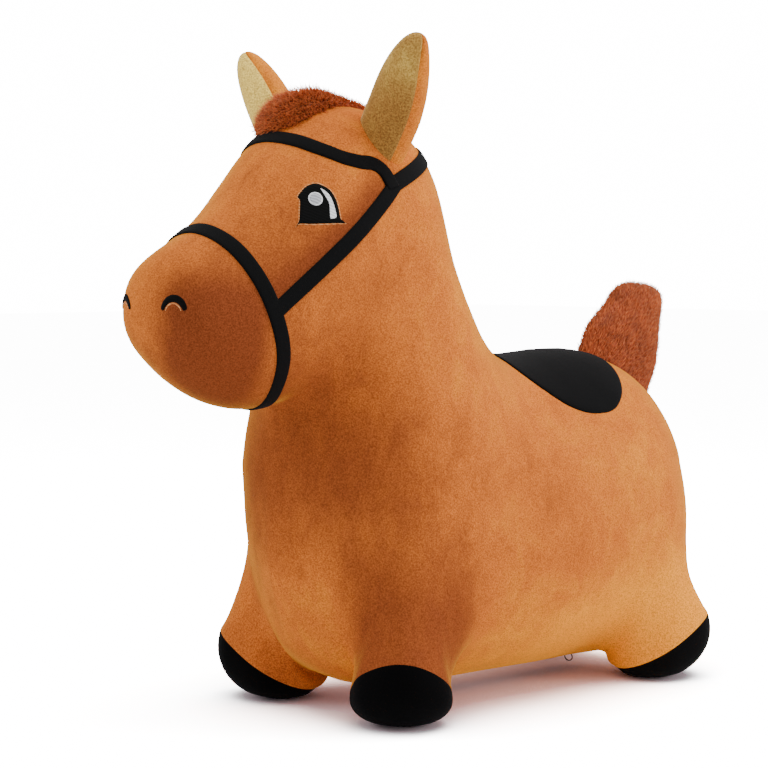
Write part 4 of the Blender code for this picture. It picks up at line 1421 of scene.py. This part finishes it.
make_fur("mane", "trunk", ("mane",), (10, 24), mane_point, mane_inside,
         {"count": 2600, "seed": 5, "comb": mane_lean, "length": lambda place: 0.008,
          "width": 0.00034, "stray": 0.45})

tail_length = 0.0915
tail_rocker = 0.026
tail_half_width = 0.0490
tail_half_thickness = 0.0185
tail_slant = 0.30
tail_middle = 0.02
tail_comb_share = 1.1
tail_level_shares = ((-0.60, 1.00, 0.92), (-0.30, 1.00, 0.96), (0.00, 0.98, 1.00), (0.20, 0.90, 1.00),
                     (0.40, 0.79, 0.97), (0.60, 0.69, 0.92), (0.78, 0.62, 0.84), (0.90, 0.54, 0.72),
                     (0.97, 0.42, 0.54), (1.00, 0.22, 0.28), (1.01, 0.0, 0.0))


def make_tail():
    def tail_rise(axis):
        rise = Vector((0, -axis.z, axis.y))
        return rise if rise.z >= 0 else -rise

    here = hinge_frame("tail_wag", tail_rise)
    length = tail_length - tail_rocker
    up_way = (here.to_3x3() @ Vector((0, 0, 1))).normalized()

    def place(u, v):
        up, wide, thick = through(tail_level_shares, v)
        around = math.tau * u
        across = math.cos(around) * max(wide, 0) * tail_half_width
        return here @ Vector((across, math.sin(around) * max(thick, 0) * tail_half_thickness,
                              up * length + max(up, 0) * tail_slant * across))

    def lean(spot, normal):
        return (up_way - normal * up_way.dot(normal)) * tail_comb_share

    core = make_fur("tail", "tail", ("tail_fur_cover", "tail_stuffing"), (32, 36), place,
                    here @ Vector((0, 0, tail_middle)),
                    {"count": 15000, "seed": 3, "comb": lean, "length": lambda spot: 0.0072,
                     "width": 0.00029, "stray": 0.35, "tones": (0.0, 0.85)})


make_tail()

# Floor, light and what is left

work_on(form)
bpy.ops.object.delete()

floor_size, floor_drop = 24, 0.0002
seen_tone = (0.9, 0.9, 0.9, 1)
floor_seen, floor_lit = 14.0, 0.9
# Painted contact shadow on the floor: how far it reaches, where it fades, and its colour
painted_shadow_reach = 0.16
painted_shadow_limits = (0.25, 0.92)
painted_shadow_tone = (0.062, 0.050, 0.054, 1)
surround_seen, surround_lit = 16.0, 1.0
# Each light's place, where it aims, its size and its power
lights = {
    "overhead_light": ((0.5, 0.3, 2.0), (0, 0, 0.2), 1.4, 24),
    "front_light": ((-1.6, -1.6, 1.3), (0, -0.1, 0.3), 1.2, 16),
    "flank_light": ((1.7, 1.5, 0.7), (0, 0.1, 0.2), 1.0, 20),
}


def camera_sight(wires, lit, seen):
    """Whether the camera looks straight at it, and a strength that is greater then."""
    sight = wires.node("ShaderNodeLightPath").outputs["Is Camera Ray"]
    strength = wires.node("ShaderNodeMapRange", {"Value": sight, "To Min": lit, "To Max": seen})
    return sight, strength.outputs["Result"]


def lay_floor():
    """Pale floor with a painted contact shadow, darker close to whatever stands on it."""
    work_on()
    bpy.ops.mesh.primitive_plane_add(size=floor_size, location=(0, 0, -floor_drop))
    floor = bpy.context.object
    floor.name = "pale_floor"
    paper = bpy.data.materials.new("pale_floor")
    paper.use_nodes = True
    wires = Wires(paper.node_tree)
    surface = wires.tree.nodes["Principled BSDF"].inputs
    sight, paleness = camera_sight(wires, floor_lit, floor_seen)
    near = wires.node("ShaderNodeAmbientOcclusion", {"Distance": painted_shadow_reach})
    shade = wires.ranged(near.outputs["AO"], *painted_shadow_limits)
    painted_shadow_tint = wires.mixed(shade, painted_shadow_tone, (1, 1, 1, 1))
    shaded = wires.mixed(1.0, painted_shadow_tint, paleness, "MULTIPLY")
    wires.feed(surface["Base Color"], wires.mixed(sight, seen_tone, shaded))
    wires.feed(surface["Roughness"], 1.0)
    wires.feed(surface["Specular IOR Level"], 0.0)
    floor.data.materials.append(paper)


def set_lights():
    """Even pale surround and three broad soft lights."""
    world = bpy.data.worlds.new("pale_surround")
    bpy.context.scene.world = world
    world.use_nodes = True
    wires = Wires(world.node_tree)
    background = wires.tree.nodes["Background"].inputs
    wires.feed(background["Color"], (1, 1, 1, 1))
    wires.feed(background["Strength"], camera_sight(wires, surround_lit, surround_seen)[1])
    for name, (place, aim, size, power) in lights.items():
        lamp = bpy.data.lights.new(name, "AREA")
        lamp.size = size
        lamp.energy = power
        light = bpy.data.objects.new(name, lamp)
        light.location = place
        light.rotation_euler = (Vector(aim) - Vector(place)).to_track_quat("-Z", "Y").to_euler()
        bpy.context.scene.collection.objects.link(light)


lay_floor()
set_lights()
